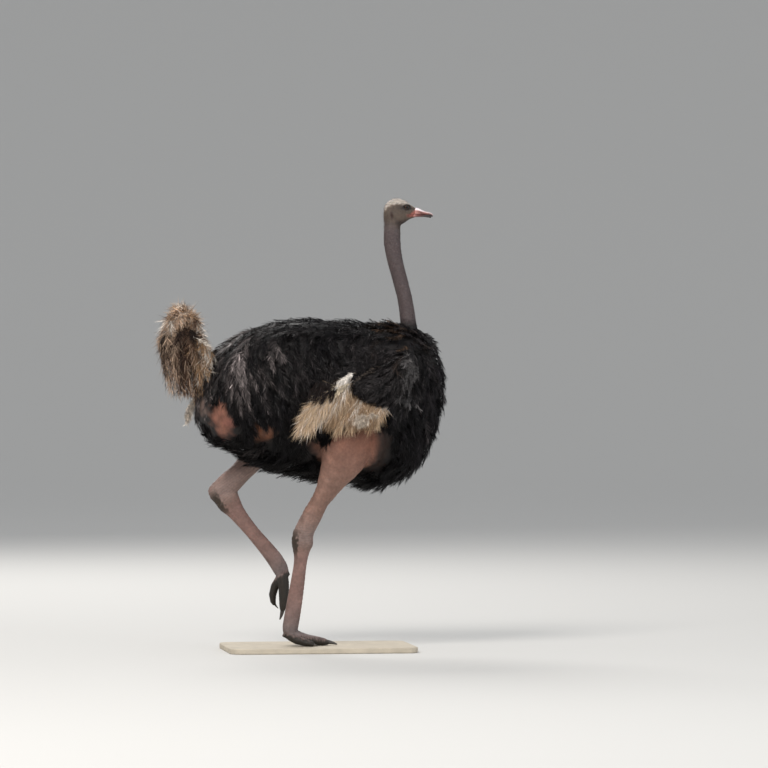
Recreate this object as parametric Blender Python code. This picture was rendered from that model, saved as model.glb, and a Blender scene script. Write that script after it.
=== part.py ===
"""A life-size standing model of a male ostrich in mid-stride, on a flat display base.

Metres, +Z up. The bird faces +X and its left side is +Y. The origin is the centre of the base's
underside. Heights in the tables are above the soles, which stand on the base. The plumage is solid out
to the tips of the feathers: each part of the body is one closed piece that meets the next across GAP.
"""

import math

import bmesh
import bpy
from mathutils import Vector

GAP = 0.0005                       # clearance between pieces that meet
CUT_GAP = 0.0012                   # the same where one piece is cut to the shape of another
BASE_LENGTH, BASE_WIDTH, BASE_THICKNESS = 0.96, 0.62, 0.028
BASE_CORNER, BASE_BEVEL = 0.07, 0.004
SOLE = BASE_THICKNESS + GAP        # level that the standing foot rests on

# x, top, bottom, half width and height of the widest line of the feathered trunk, rump to breast
TRUNK = (
    (-0.657, 1.225, 1.215, 0.004, 1.22),
    (-0.644, 1.310, 1.138, 0.080, 1.23),
    (-0.593, 1.425, 1.078, 0.160, 1.26),
    (-0.520, 1.515, 1.026, 0.215, 1.28),
    (-0.400, 1.590, 0.968, 0.262, 1.30),
    (-0.260, 1.652, 0.906, 0.288, 1.31),
    (-0.100, 1.674, 0.858, 0.300, 1.30),
    (0.060, 1.668, 0.834, 0.303, 1.29),
    (0.220, 1.650, 0.812, 0.298, 1.28),
    (0.360, 1.645, 0.808, 0.282, 1.27),
    (0.470, 1.628, 0.858, 0.252, 1.28),
    (0.560, 1.580, 0.962, 0.205, 1.30),
    (0.625, 1.510, 1.090, 0.140, 1.32),
    (0.658, 1.420, 1.215, 0.075, 1.33),
    (0.668, 1.335, 1.325, 0.004, 1.33),
)
PLUME_ROW, PLUME_LAP, HEM_DROP = 0.19, 0.060, 0.032   # spacing of the rows of plumes, and their relief
# x, y, height, half depth fore and aft, half width from side to side
NECK = (
    (0.488, 0.0, 1.470, 0.064, 0.062),
    (0.478, 0.0, 1.545, 0.053, 0.052),
    (0.469, 0.0, 1.607, 0.042, 0.042),
    (0.458, 0.0, 1.703, 0.0385, 0.036),
    (0.440, 0.0, 1.800, 0.037, 0.034),
    (0.404, 0.0, 1.928, 0.0385, 0.0335),
    (0.386, 0.0, 2.015, 0.041, 0.034),
    (0.379, 0.0, 2.095, 0.044, 0.035),
    (0.381, 0.0, 2.150, 0.043, 0.035),
    (0.392, 0.0, 2.195, 0.036, 0.031),
)
NECK_PARTING, HEAD_PARTING = 1.86, 2.118
# x, top, bottom, half width
HEAD = (
    (0.342, 2.222, 2.178, 0.016),
    (0.351, 2.247, 2.152, 0.027),
    (0.370, 2.268, 2.136, 0.033),
    (0.395, 2.278, 2.130, 0.036),
    (0.422, 2.277, 2.140, 0.037),
    (0.447, 2.267, 2.155, 0.036),
    (0.468, 2.253, 2.170, 0.031),
    (0.488, 2.239, 2.178, 0.025),
    (0.502, 2.230, 2.183, 0.020),
)
UPPER_BILL = (
    (0.486, 2.228, 2.1995, 0.0190),
    (0.505, 2.2295, 2.1985, 0.0210),
    (0.520, 2.2265, 2.1975, 0.0205),
    (0.536, 2.2175, 2.1965, 0.0195),
    (0.555, 2.2105, 2.1955, 0.0185),
    (0.573, 2.2075, 2.1935, 0.0165),
    (0.586, 2.2020, 2.1870, 0.0110),
    (0.591, 2.1950, 2.1850, 0.0040),
)
LOWER_BILL = (
    (0.484, 2.1975, 2.1820, 0.0180),
    (0.505, 2.1970, 2.1835, 0.0185),
    (0.530, 2.1960, 2.1845, 0.0175),
    (0.555, 2.1940, 2.1840, 0.0155),
    (0.575, 2.1900, 2.1800, 0.0105),
    (0.583, 2.1860, 2.1800, 0.0040),
)
EYE_X, EYE_SIDE, EYE_HEIGHT, EYE_RADIUS = 0.4525, 0.0205, 2.2330, 0.0192

# The right leg stands. The left is lifted behind, its foot hanging. Columns as for the neck.
RIGHT_THIGH = (
    (0.190, -0.150, 1.215, 0.085, 0.060),
    (0.162, -0.172, 1.150, 0.142, 0.088),
    (0.132, -0.184, 1.060, 0.150, 0.094),
    (0.108, -0.184, 0.975, 0.128, 0.088),
    (0.082, -0.178, 0.912, 0.099, 0.076),
    (0.054, -0.168, 0.850, 0.074, 0.062),
    (0.016, -0.152, 0.780, 0.052, 0.048),
    (-0.032, -0.131, 0.685, 0.047, 0.042),
    (-0.066, -0.117, 0.617, 0.052, 0.046),
    (-0.080, -0.111, 0.580, 0.044, 0.042),
)
RIGHT_TARSUS = (
    (-0.0780, -0.111, 0.608, 0.050, 0.044),
    (-0.0850, -0.109, 0.571, 0.0605, 0.049),
    (-0.0905, -0.106, 0.530, 0.056, 0.047),
    (-0.0965, -0.102, 0.488, 0.041, 0.041),
    (-0.1010, -0.098, 0.440, 0.034, 0.034),
    (-0.1070, -0.094, 0.390, 0.033, 0.029),
    (-0.1190, -0.086, 0.300, 0.037, 0.028),
    (-0.1350, -0.078, 0.194, 0.040, 0.030),
    (-0.1500, -0.072, 0.105, 0.041, 0.036),
    (-0.1545, -0.070, 0.066, 0.036, 0.038),
)
LEFT_THIGH = (
    (-0.060, 0.140, 1.215, 0.070, 0.055),
    (-0.120, 0.160, 1.158, 0.105, 0.080),
    (-0.222, 0.157, 1.047, 0.090, 0.074),
    (-0.318, 0.150, 0.944, 0.063, 0.056),
    (-0.386, 0.145, 0.873, 0.055, 0.046),
    (-0.438, 0.141, 0.824, 0.058, 0.046),
    (-0.462, 0.139, 0.799, 0.049, 0.040),
)
LEFT_TARSUS = (
    (-0.4700, 0.138, 0.820, 0.056, 0.043),
    (-0.4625, 0.138, 0.781, 0.067, 0.048),
    (-0.4450, 0.135, 0.733, 0.062, 0.045),
    (-0.4125, 0.132, 0.684, 0.046, 0.038),
    (-0.3500, 0.127, 0.605, 0.036, 0.030),
    (-0.2930, 0.122, 0.537, 0.036, 0.028),
    (-0.2370, 0.115, 0.470, 0.039, 0.030),
    (-0.1920, 0.110, 0.408, 0.042, 0.035),
    (-0.1720, 0.107, 0.362, 0.037, 0.038),
)
RIGHT_INNER_TOE = (
    (-0.160, -0.070, 0.062, 0.030, 0.036),
    (-0.118, -0.069, 0.046, 0.032, 0.040),
    (-0.065, -0.067, 0.030, 0.027, 0.037),
    (-0.012, -0.065, 0.024, 0.023, 0.035),
    (0.030, -0.064, 0.018, 0.018, 0.028),
    (0.046, -0.064, 0.014, 0.010, 0.017),
)
RIGHT_OUTER_TOE = (
    (-0.158, -0.086, 0.050, 0.022, 0.022),
    (-0.122, -0.112, 0.032, 0.023, 0.027),
    (-0.084, -0.134, 0.021, 0.019, 0.025),
    (-0.054, -0.150, 0.015, 0.015, 0.020),
    (-0.042, -0.156, 0.010, 0.009, 0.012),
)
LEFT_INNER_TOE = (
    (-0.172, 0.104, 0.352, 0.029, 0.034),
    (-0.164, 0.101, 0.300, 0.029, 0.036),
    (-0.165, 0.098, 0.245, 0.024, 0.033),
    (-0.169, 0.096, 0.195, 0.019, 0.028),
    (-0.172, 0.095, 0.168, 0.011, 0.018),
)
LEFT_OUTER_TOE = (
    (-0.182, 0.122, 0.338, 0.021, 0.021),
    (-0.205, 0.139, 0.292, 0.022, 0.024),
    (-0.215, 0.149, 0.248, 0.020, 0.023),
    (-0.212, 0.154, 0.213, 0.015, 0.018),
    (-0.205, 0.156, 0.198, 0.009, 0.012),
)
RIGHT_INNER_CLAW = ((0.034, -0.064, 0.018), (0.062, -0.063, 0.016), (0.090, -0.062, 0.005), 0.015)
RIGHT_OUTER_CLAW = ((-0.050, -0.152, 0.013), (-0.036, -0.160, 0.011), (-0.024, -0.167, 0.004), 0.008)
LEFT_INNER_CLAW = ((-0.171, 0.095, 0.176), (-0.175, 0.094, 0.150), (-0.186, 0.093, 0.124), 0.015)
LEFT_OUTER_CLAW = ((-0.208, 0.155, 0.206), (-0.198, 0.157, 0.190), (-0.186, 0.158, 0.178), 0.008)

# The folded wing's feathered arm, from shoulder to hand: x, side, height, half height, half thickness
WING = (
    (0.500, 0.212, 1.440, 0.060, 0.030),
    (0.455, 0.274, 1.405, 0.135, 0.048),
    (0.390, 0.312, 1.375, 0.160, 0.053),
    (0.310, 0.330, 1.340, 0.140, 0.051),
    (0.215, 0.340, 1.325, 0.085, 0.042),
    (0.138, 0.342, 1.318, 0.032, 0.024),
)
# The pale flight plumes: where the fans of plumes start and end, as (x, side, height)
TRAILING_ROOTS = ((0.220, 0.326, 1.330), (0.200, 0.322, 1.235))
TRAILING_TIPS = ((-0.172, 0.330, 1.085), (-0.105, 0.324, 1.048))
HANGING_ROOTS = ((0.165, 0.326, 1.290), (0.295, 0.314, 1.235))
HANGING_TIPS = ((0.015, 0.320, 1.055), (0.285, 0.298, 1.105))
TRAILING_COUNT, HANGING_COUNT = 3, 4
WING_LEAN, WING_TUCK = 0.35, 0.40   # how far the arm's sections lean forward, and fold in at the top

# The tail stands up from its dock, and its plumes arch over and hang
TAIL_DOCK = (-0.592, 0.0, 1.440)
TAIL_CENTRE_X, TAIL_CREST, TAIL_HANG = -0.690, 1.694, 1.300
TAIL_DEPTH, TAIL_HALF_WIDTH = 0.117, 0.137
TAIL_COUNT = 7
UNDERTAIL_ROOT, UNDERTAIL_TIP = (-0.594, 0.060, 1.270), (-0.668, 0.085, 1.150)

COLOURS = {
    "black_plumage": ((0.012, 0.011, 0.012), 0.75),
    "pale_plumage": ((0.72, 0.62, 0.47), 0.8),
    "tail_plumage": ((0.26, 0.17, 0.10), 0.8),
    "bare_skin": ((0.48, 0.27, 0.22), 0.6),
    "neck_down": ((0.30, 0.22, 0.19), 0.8),
    "bill_horn": ((0.62, 0.28, 0.21), 0.45),
    "eye": ((0.03, 0.018, 0.01), 0.08),
    "foot_scales": ((0.06, 0.05, 0.05), 0.6),
    "claw_horn": ((0.05, 0.04, 0.035), 0.4),
    "base_board": ((0.55, 0.50, 0.42), 0.6),
}


def material(name):
    """The named finish, made once."""
    found = bpy.data.materials.get(name)
    if found:
        return found
    colour, roughness = COLOURS[name]
    made = bpy.data.materials.new(name)
    made.use_nodes = True
    shader = made.node_tree.nodes["Principled BSDF"]
    shader.inputs["Base Color"].default_value = (*colour, 1.0)
    shader.inputs["Roughness"].default_value = roughness
    return made


def smooth_rows(rows, count):
    """count rows on a Catmull-Rom curve through rows of numbers."""
    made = []
    for i in range(count):
        t = i * (len(rows) - 1) / (count - 1)
        k = min(int(t), len(rows) - 2)
        f = t - k
        near = [rows[min(max(j, 0), len(rows) - 1)] for j in (k - 1, k, k + 1, k + 2)]
        made.append(tuple(
            b + 0.5 * f * (c - a + f * (2 * a - 5 * b + 4 * c - d + f * (3 * (b - c) + d - a)))
            for a, b, c, d in zip(*near)
        ))
    return made


def mesh_object(name, points, faces, finish, in_triangles=True):
    """A smooth-shaded object of this mesh, with its normals facing out.

    Triangles keep a piece and the cutter made from it in step where a face is bent.
    """
    mesh = bpy.data.meshes.new(name)
    mesh.from_pydata([tuple(p) for p in points], [], faces)
    body = bmesh.new()
    body.from_mesh(mesh)
    bmesh.ops.recalc_face_normals(body, faces=body.faces)
    if in_triangles:
        bmesh.ops.triangulate(body, faces=body.faces)
    body.to_mesh(mesh)
    body.free()
    mesh.materials.append(material(finish))
    mesh.shade_smooth()
    mesh.set_sharp_from_angle(angle=math.radians(50))
    made = bpy.data.objects.new(name, mesh)
    bpy.context.scene.collection.objects.link(made)
    return made


def loft(name, rings, finish):
    """A closed skin over rings of equally many points, each end closed by a fan to its middle."""
    sides = len(rings[0])
    points = [p for ring in rings for p in ring]
    faces = []
    for k in range(len(rings) - 1):
        for j in range(sides):
            a, b = k * sides + j, k * sides + (j + 1) % sides
            faces.append((a, b, b + sides, a + sides))
    for ring, first in ((rings[0], 0), (rings[-1], (len(rings) - 1) * sides)):
        middle = len(points)
        points.append(sum(ring, Vector()) / sides)
        faces += [(first + j, first + (j + 1) % sides, middle) for j in range(sides)]
    return mesh_object(name, points, faces, finish)


def limb_rings(rows, sides, count, dome=0.35):
    """Oval rings square to a path: rows hold x, y, height, half depth and half width.

    The ends draw in as domes whose length is dome times their radius.
    """
    rows = smooth_rows(rows, count)
    centres = [Vector((x, y, SOLE + h)) for x, y, h, _, _ in rows]
    rings = []
    for i, (centre, row) in enumerate(zip(centres, rows)):
        along = (centres[min(i + 1, count - 1)] - centres[max(i - 1, 0)]).normalized()
        across = (Vector((0, 1, 0)) - along * along.y).normalized()
        fore = across.cross(along)
        ring = []
        for j in range(sides):
            turn = 2 * math.pi * j / sides
            ring.append(centre + fore * row[3] * math.cos(turn) + across * row[4] * math.sin(turn))
        rings.append(ring)
        if i in (0, count - 1) and dome:
            outward = along * (-1 if i == 0 else 1)
            reach = dome * row[3]
            cap = [centre + (p - centre) * 0.62 + outward * reach for p in ring]
            if i == 0:
                rings.insert(0, cap)
            else:
                rings.append(cap)
    return rings


def profile_rings(rows, sides, count, squareness=2.2, relief=None):
    """Upright rings along X: rows hold x, top, bottom, half width and the height of the widest line."""
    rings = []
    for x, top, bottom, half, widest in smooth_rows(rows, count):
        ring = []
        for j in range(sides):
            turn = 2 * math.pi * j / sides
            side, up = math.cos(turn), math.sin(turn)
            y = half * math.copysign(abs(side) ** (2 / squareness), side)
            reach = (top - widest) if up > 0 else (widest - bottom)
            z = widest + reach * math.copysign(abs(up) ** (2 / squareness), up)
            grow = 1 + (relief(x, turn) if relief else 0)
            ring.append(Vector((x, y * grow, SOLE + widest + (z - widest) * grow)))
        rings.append(ring)
    return rings


def plume_rings(root, bend, tip, half_width, half_thickness, sides=5, count=5):
    """Rings of one drooping plume: a quadratic curve from root past bend to tip, fullest past its middle."""
    root, bend, tip = Vector(root), Vector(bend), Vector(tip)
    rings = []
    for i in range(count):
        t = i / (count - 1)
        centre = root * (1 - t) ** 2 + bend * 2 * t * (1 - t) + tip * t * t
        along = ((bend - root) * (1 - t) + (tip - bend) * t).normalized()
        out = Vector((0, 1, 0)) - along * along.y
        out = out.normalized() if out.length > 0.2 else Vector((1, 0, 0))
        wide = out.cross(along).normalized()
        full = 0.30 + 0.70 * math.sin(math.pi * min(1, 0.12 + 0.80 * t)) ** 0.8
        full *= 0.45 if i == count - 1 else 1
        ring = []
        for j in range(sides):
            turn = 2 * math.pi * j / sides
            offset = wide * half_width * math.cos(turn) + out * half_thickness * math.sin(turn)
            ring.append(centre + offset * full)
        rings.append(ring)
    return [[p + Vector((0, 0, SOLE)) for p in ring] for ring in rings]


def settle(target):
    """Keeps what the target's modifiers make as its own mesh."""
    bpy.context.view_layer.update()
    graph = bpy.context.evaluated_depsgraph_get()
    made = bpy.data.meshes.new_from_object(target.evaluated_get(graph))
    target.modifiers.clear()
    target.data = made
    target.data.shade_smooth()
    target.data.set_sharp_from_angle(angle=math.radians(50))


def boolean(target, tool, operation):
    """Joins or cuts the target's mesh with the tool's."""
    step = target.modifiers.new(operation.lower(), "BOOLEAN")
    step.operation = operation
    step.solver = "EXACT"
    step.object = tool
    settle(target)


def discard(*spent):
    """Removes helpers."""
    for helper in spent:
        bpy.data.objects.remove(helper)


def fuse(first, *others):
    """Joins overlapping pieces into the first."""
    for other in others:
        boolean(first, other, "UNION")
        discard(other)
    return first


def swollen(piece, gap=CUT_GAP):
    """A helper the shape of this simple piece with the gap added all round, to cut its neighbours with."""
    cutter = piece.copy()
    cutter.data = piece.data.copy()
    cutter.name = piece.name + "_cutter"
    normals = [v.normal.copy() for v in cutter.data.vertices]
    for v, normal in zip(cutter.data.vertices, normals):
        v.co += normal * gap
    cutter.hide_render = True
    cutter.display_type = "WIRE"
    bpy.context.scene.collection.objects.link(cutter)
    return cutter


def carve(target, *cutters):
    """Cuts the cutters' shapes out of the target."""
    for cutter in cutters:
        boolean(target, cutter, "DIFFERENCE")


def drop_crumbs(piece):
    """Keeps only the largest of the bodies that cutting left."""
    body = bmesh.new()
    body.from_mesh(piece.data)
    islands, seen = [], set()
    for start in body.verts:
        if start in seen:
            continue
        island, edge = set(), [start]
        while edge:
            v = edge.pop()
            if v in island:
                continue
            island.add(v)
            edge += [e.other_vert(v) for e in v.link_edges]
        seen |= island
        islands.append(island)
    islands.sort(key=len)
    bmesh.ops.delete(body, geom=[v for island in islands[:-1] for v in island], context="VERTS")
    body.to_mesh(piece.data)
    body.free()


def part_in_two(whole, upper_name, point, normal, finish):
    """Cuts a piece across a plane with a gap. The side that the normal points to becomes upper_name."""
    normal = Vector(normal).normalized()
    upper = whole.copy()
    upper.data = whole.data.copy()
    upper.name = upper.data.name = upper_name
    upper.data.materials[0] = material(finish)
    bpy.context.scene.collection.objects.link(upper)
    for piece, side in ((whole, -1), (upper, 1)):
        body = bmesh.new()
        body.from_mesh(piece.data)
        cut = bmesh.ops.bisect_plane(
            body, geom=body.verts[:] + body.edges[:] + body.faces[:], dist=1e-6,
            plane_co=Vector(point) + normal * side * GAP / 2, plane_no=normal,
            clear_outer=side < 0, clear_inner=side > 0,
        )
        edges = [e for e in cut["geom_cut"] if isinstance(e, bmesh.types.BMEdge)]
        bmesh.ops.contextual_create(body, geom=edges)
        bmesh.ops.recalc_face_normals(body, faces=body.faces)
        body.to_mesh(piece.data)
        body.free()
        piece.data.set_sharp_from_angle(angle=math.radians(50))
    return upper


def flatten_sole(piece, level=SOLE):
    """Presses what would sink below the level up onto it, which leaves a flat sole."""
    for v in piece.data.vertices:
        v.co.z = max(v.co.z, level)
    body = bmesh.new()
    body.from_mesh(piece.data)
    bmesh.ops.recalc_face_normals(body, faces=body.faces)
    body.to_mesh(piece.data)
    body.free()


def mirrored(row):
    """The same place on the other side of the bird."""
    return (row[0], -row[1], *row[2:])


def between(first, last, i, count):
    """The i-th of count places spread evenly from first to last."""
    return Vector(first).lerp(Vector(last), i / (count - 1))


def plumage_relief(x, turn):
    """Overlapping rows of plumes on the trunk, as a share of its radius, with a ragged lower edge."""
    row = (TRUNK[-1][0] - x) / PLUME_ROW + 0.4 * abs(math.sin(3.5 * turn + 0.6))
    lap = PLUME_LAP * (row % 1.0 - 0.5)
    hem = HEM_DROP * math.sin(23 * x + 2.0) * max(0.0, -math.sin(turn)) ** 3
    away_from_ends = min(1.0, (TRUNK[-1][0] - abs(x)) / 0.08)
    return (lap + hem) * max(0.0, away_from_ends)


def make_trunk():
    """The feathered trunk, whole."""
    return loft("trunk", profile_rings(TRUNK, 22, 25, 2.1, plumage_relief), "black_plumage")


def make_head_and_neck():
    """Neck and head, joined and parted by thin cuts, with the two halves of the bill and the eyes."""
    whole = loft("neck_lower", limb_rings(NECK, 12, 13), "neck_down")
    rows = [(x, top, bottom, half, (top + bottom) / 2) for x, top, bottom, half in HEAD]
    fuse(whole, loft("skull", profile_rings(rows, 12, 10), "neck_down"))
    head_cut = (0.379, 0, SOLE + HEAD_PARTING)
    head = part_in_two(whole, "head", head_cut, (0.45, 0, 0.9), "neck_down")
    neck_cut = (0.424, 0, SOLE + NECK_PARTING)
    part_in_two(whole, "neck_upper", neck_cut, (-0.24, 0, 0.97), "neck_down")
    bills = []
    for name, table in (("bill_upper", UPPER_BILL), ("bill_lower", LOWER_BILL)):
        rows = [(x, top, bottom, half, (top + bottom) / 2) for x, top, bottom, half in table]
        bills.append(loft(name, profile_rings(rows, 8, 8, 2.4), "bill_horn"))
    eyes = [make_eye("eye_" + word, side) for side, word in ((-1, "right"), (1, "left"))]
    sockets = [swollen(piece) for piece in bills + eyes]
    carve(head, *sockets)
    discard(*sockets)
    return [swollen(whole)]


def make_eye(name, side):
    """One eyeball, set in the side of the head."""
    body = bmesh.new()
    bmesh.ops.create_uvsphere(body, u_segments=10, v_segments=6, radius=EYE_RADIUS)
    mesh = bpy.data.meshes.new(name)
    body.to_mesh(mesh)
    body.free()
    mesh.materials.append(material("eye"))
    mesh.shade_smooth()
    eye = bpy.data.objects.new(name, mesh)
    eye.location = (EYE_X, side * EYE_SIDE, SOLE + EYE_HEIGHT)
    bpy.context.scene.collection.objects.link(eye)
    bpy.context.view_layer.update()
    mesh.transform(eye.matrix_world)
    eye.location = (0, 0, 0)
    return eye


def make_claw(name, start, bend, tip, half):
    """A curved nail, broad at its root and blunt at its tip."""
    rows = []
    for i in range(4):
        t = i / 3
        place = Vector(start) * (1 - t) ** 2 + Vector(bend) * 2 * t * (1 - t) + Vector(tip) * t * t
        size = half * (1 - 0.75 * t ** 1.5)
        rows.append((*place, size * 0.75, size))
    return loft(name, limb_rings(rows, 6, 4, 0.25), "claw_horn")


def make_leg(word, thigh_rows, tarsus_rows, inner_rows, outer_rows, inner_claw, outer_claw, standing):
    """One leg: drumstick, tarsus, two toes and their nails. Returns what cuts the trunk for it."""
    thigh = loft("thigh_" + word, limb_rings(thigh_rows, 12, 11), "bare_skin")
    tarsus = loft("tarsus_" + word, limb_rings(tarsus_rows, 10, 12), "bare_skin")
    knee = swollen(thigh)
    carve(tarsus, knee)
    inner = loft("toe_inner_" + word, limb_rings(inner_rows, 8, 6), "foot_scales")
    outer = loft("toe_outer_" + word, limb_rings(outer_rows, 7, 5), "foot_scales")
    claws = [make_claw("claw_inner_" + word, *inner_claw), make_claw("claw_outer_" + word, *outer_claw)]
    if standing:
        for piece in (inner, outer, *claws):
            flatten_sole(piece)
    ankle, web, nails = swollen(tarsus), swollen(inner), [swollen(claw) for claw in claws]
    carve(inner, ankle, nails[0])
    carve(outer, ankle, web, nails[1])
    discard(ankle, web, *nails)
    return [knee]


def make_wing(word, side):
    """One folded wing: the black arm, and the pale plumes under it. Returns what cuts the trunk for them."""
    rings = []
    for x, out, height, half_height, half_thickness in smooth_rows(WING, 8):
        centre = Vector((x, side * out, SOLE + height))
        lean = Vector((WING_LEAN, 0, 1)).normalized()
        ring = []
        for j in range(10):
            turn = 2 * math.pi * j / 10
            tuck = WING_TUCK * half_height * max(0.0, math.cos(turn)) ** 2
            out_of_body = half_thickness * math.sin(turn) - tuck
            ring.append(centre + lean * half_height * math.cos(turn) + Vector((0, side * out_of_body, 0)))
        rings.append(ring)
    arm = loft("wing_" + word, rings, "black_plumage")
    lobes = []
    for i in range(TRAILING_COUNT):
        root = between(*TRAILING_ROOTS, i, TRAILING_COUNT)
        tip = between(*TRAILING_TIPS, i, TRAILING_COUNT)
        bend = (root + tip) / 2 + Vector((-0.02, 0.020, 0.035))
        lobes.append((root, bend, tip, 0.052, 0.026))
    for i in range(HANGING_COUNT):
        root = between(*HANGING_ROOTS, i, HANGING_COUNT)
        tip = between(*HANGING_TIPS, i, HANGING_COUNT)
        bend = (root + tip) / 2 + Vector((-0.01, 0.030, 0.02))
        tip.z += 0.012 * (-1) ** i
        lobes.append((root, bend, tip, 0.056, 0.025))
    pieces = []
    for i, (root, bend, tip, width, thickness) in enumerate(lobes):
        if side < 0:
            root, bend, tip = (Vector(mirrored(p)) for p in (root, bend, tip))
        rings = plume_rings(root, bend, tip, width, thickness)
        pieces.append(loft(f"plume_{word}_{i}", rings, "pale_plumage"))
    pieces[0].name = "wing_plumes_" + word
    cutters = [swollen(piece) for piece in (arm, *pieces)]
    carve(fuse(*pieces), cutters[0])
    return cutters


def make_tail():
    """The upright tail, whose plumes arch over and hang all round. Returns what cuts the trunk for it."""
    dock = Vector(TAIL_DOCK)
    core = plume_rings(dock, (TAIL_CENTRE_X + 0.02, 0, 1.50), (TAIL_CENTRE_X, 0, TAIL_CREST), 0.085, 0.085, 7)
    pieces = [loft("tail", core, "tail_plumage")]
    for i in range(TAIL_COUNT):
        turn = 2 * math.pi * (i + 0.37) / TAIL_COUNT
        out = Vector((TAIL_DEPTH * math.cos(turn), TAIL_HALF_WIDTH * math.sin(turn), 0))
        crest = Vector((TAIL_CENTRE_X, 0, TAIL_CREST)) - out * 0.2
        bend = Vector((TAIL_CENTRE_X, 0, TAIL_CREST - 0.10)) + out * 1.30
        tip = Vector((TAIL_CENTRE_X + 0.02, 0, TAIL_HANG + 0.03 * math.sin(5 * turn + 1))) + out * 0.45
        rings = plume_rings(crest, bend, tip, 0.064, 0.052, 6, 5)
        pieces.append(loft(f"tail_plume_{i}", rings, "tail_plumage"))
    cutters = [swollen(piece) for piece in pieces]
    fuse(*pieces)
    return cutters


def make_undertail():
    """The small pale tuft under the tail. Returns what cuts the trunk for it."""
    middle = (Vector(UNDERTAIL_ROOT) + Vector(UNDERTAIL_TIP)) / 2 + Vector((-0.025, 0, 0.02))
    rings = plume_rings(UNDERTAIL_ROOT, middle, UNDERTAIL_TIP, 0.034, 0.030, 6, 5)
    return [swollen(loft("undertail_tuft", rings, "pale_plumage"))]


def make_base():
    """The flat display base, with rounded corners and eased edges."""
    points = []
    steps = 4
    for sx, sy, start in ((1, 1, 0), (-1, 1, 1), (-1, -1, 2), (1, -1, 3)):
        cx = sx * (BASE_LENGTH / 2 - BASE_CORNER)
        cy = sy * (BASE_WIDTH / 2 - BASE_CORNER)
        for i in range(steps + 1):
            turn = math.pi / 2 * (start + i / steps)
            points.append((cx + BASE_CORNER * math.cos(turn), cy + BASE_CORNER * math.sin(turn)))
    count = len(points)
    low = [(x, y, 0.0) for x, y in points]
    high = [(x, y, BASE_THICKNESS) for x, y in points]
    faces = [tuple(reversed(range(count))), tuple(range(count, 2 * count))]
    faces += [(i, (i + 1) % count, count + (i + 1) % count, count + i) for i in range(count)]
    base = mesh_object("stand_base", low + high, faces, "base_board", in_triangles=False)
    edge = base.modifiers.new("eased_edges", "BEVEL")
    edge.width = BASE_BEVEL
    edge.segments = 1
    edge.limit_method = "ANGLE"
    edge.angle_limit = math.radians(40)
    return base


def main():
    """Clears the scene and builds the bird on its base."""
    for old in list(bpy.data.objects):
        bpy.data.objects.remove(old)
    make_base()
    trunk = make_trunk()
    cutters = make_head_and_neck()
    cutters += make_leg("right", RIGHT_THIGH, RIGHT_TARSUS, RIGHT_INNER_TOE, RIGHT_OUTER_TOE,
                        RIGHT_INNER_CLAW, RIGHT_OUTER_CLAW, standing=True)
    cutters += make_leg("left", LEFT_THIGH, LEFT_TARSUS, LEFT_INNER_TOE, LEFT_OUTER_TOE,
                        LEFT_INNER_CLAW, LEFT_OUTER_CLAW, standing=False)
    cutters += make_wing("right", -1)
    cutters += make_wing("left", 1)
    cutters += make_tail()
    cutters += make_undertail()
    carve(trunk, *cutters)
    discard(*cutters)
    drop_crumbs(trunk)


main()
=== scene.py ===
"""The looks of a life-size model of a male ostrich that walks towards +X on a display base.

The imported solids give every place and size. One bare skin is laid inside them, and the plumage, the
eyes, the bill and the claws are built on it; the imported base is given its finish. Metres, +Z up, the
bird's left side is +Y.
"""

import logging
import math
from collections.abc import Callable
from dataclasses import dataclass, field, replace
from enum import Enum

import bpy
import numpy as np
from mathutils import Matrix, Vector
from mathutils.bvhtree import BVHTree


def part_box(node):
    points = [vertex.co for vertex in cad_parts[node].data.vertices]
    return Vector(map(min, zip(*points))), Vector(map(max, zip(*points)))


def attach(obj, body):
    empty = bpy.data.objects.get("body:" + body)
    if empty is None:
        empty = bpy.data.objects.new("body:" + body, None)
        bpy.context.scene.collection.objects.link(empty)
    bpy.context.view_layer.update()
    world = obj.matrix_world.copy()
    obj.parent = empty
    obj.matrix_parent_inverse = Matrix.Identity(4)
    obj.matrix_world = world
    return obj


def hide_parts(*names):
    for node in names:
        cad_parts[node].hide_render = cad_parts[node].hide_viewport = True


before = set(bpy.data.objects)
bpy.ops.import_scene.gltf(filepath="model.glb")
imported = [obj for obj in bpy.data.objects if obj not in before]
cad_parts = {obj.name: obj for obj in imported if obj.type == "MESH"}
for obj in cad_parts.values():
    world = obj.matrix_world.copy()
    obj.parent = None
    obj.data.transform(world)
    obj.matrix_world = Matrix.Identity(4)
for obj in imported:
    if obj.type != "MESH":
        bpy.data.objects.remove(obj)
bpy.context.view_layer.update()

Array = np.ndarray
Piece = bpy.types.Object
Mesh = bpy.types.Mesh
Random = np.random.Generator
Pair = tuple[float, float]
Triple = tuple[float, float, float]       # a colour or a place
log = logging.getLogger("ostrich")
BODY = "root"
UP = np.array((0.0, 0.0, 1.0))
AHEAD = np.array((1.0, 0.0, 0.0))
COAT_PIECE_TRIANGLES = 190_000     # most triangles in one piece of the coat
TUFT_PATCH = 0.0028                # width of one tuft's patch on the unwrap of the skin


class Side(Enum):
    """A side of the bird, with the sign of its Y."""

    RIGHT = -1
    LEFT = 1

    @property
    def word(self) -> str:
        """The side's name in node names."""
        return self.name.lower()


# ---- numbers


def unit(vectors: Array) -> Array:
    """Vectors made one long, along the last axis."""
    return vectors / np.maximum(np.linalg.norm(vectors, axis=-1, keepdims=True), 1e-12)


def ease(low: float, high: float, value: Array) -> Array:
    """A smooth step from 0 at low to 1 at high."""
    t = np.clip((value - low) / (high - low), 0, 1)
    return t * t * (3 - 2 * t)


def bell(offset: Array, width: float, power: float = 2) -> Array:
    """1 where the offset is 0, falling to almost nothing beyond the width."""
    return np.exp(-(offset / width) ** power)


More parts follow.
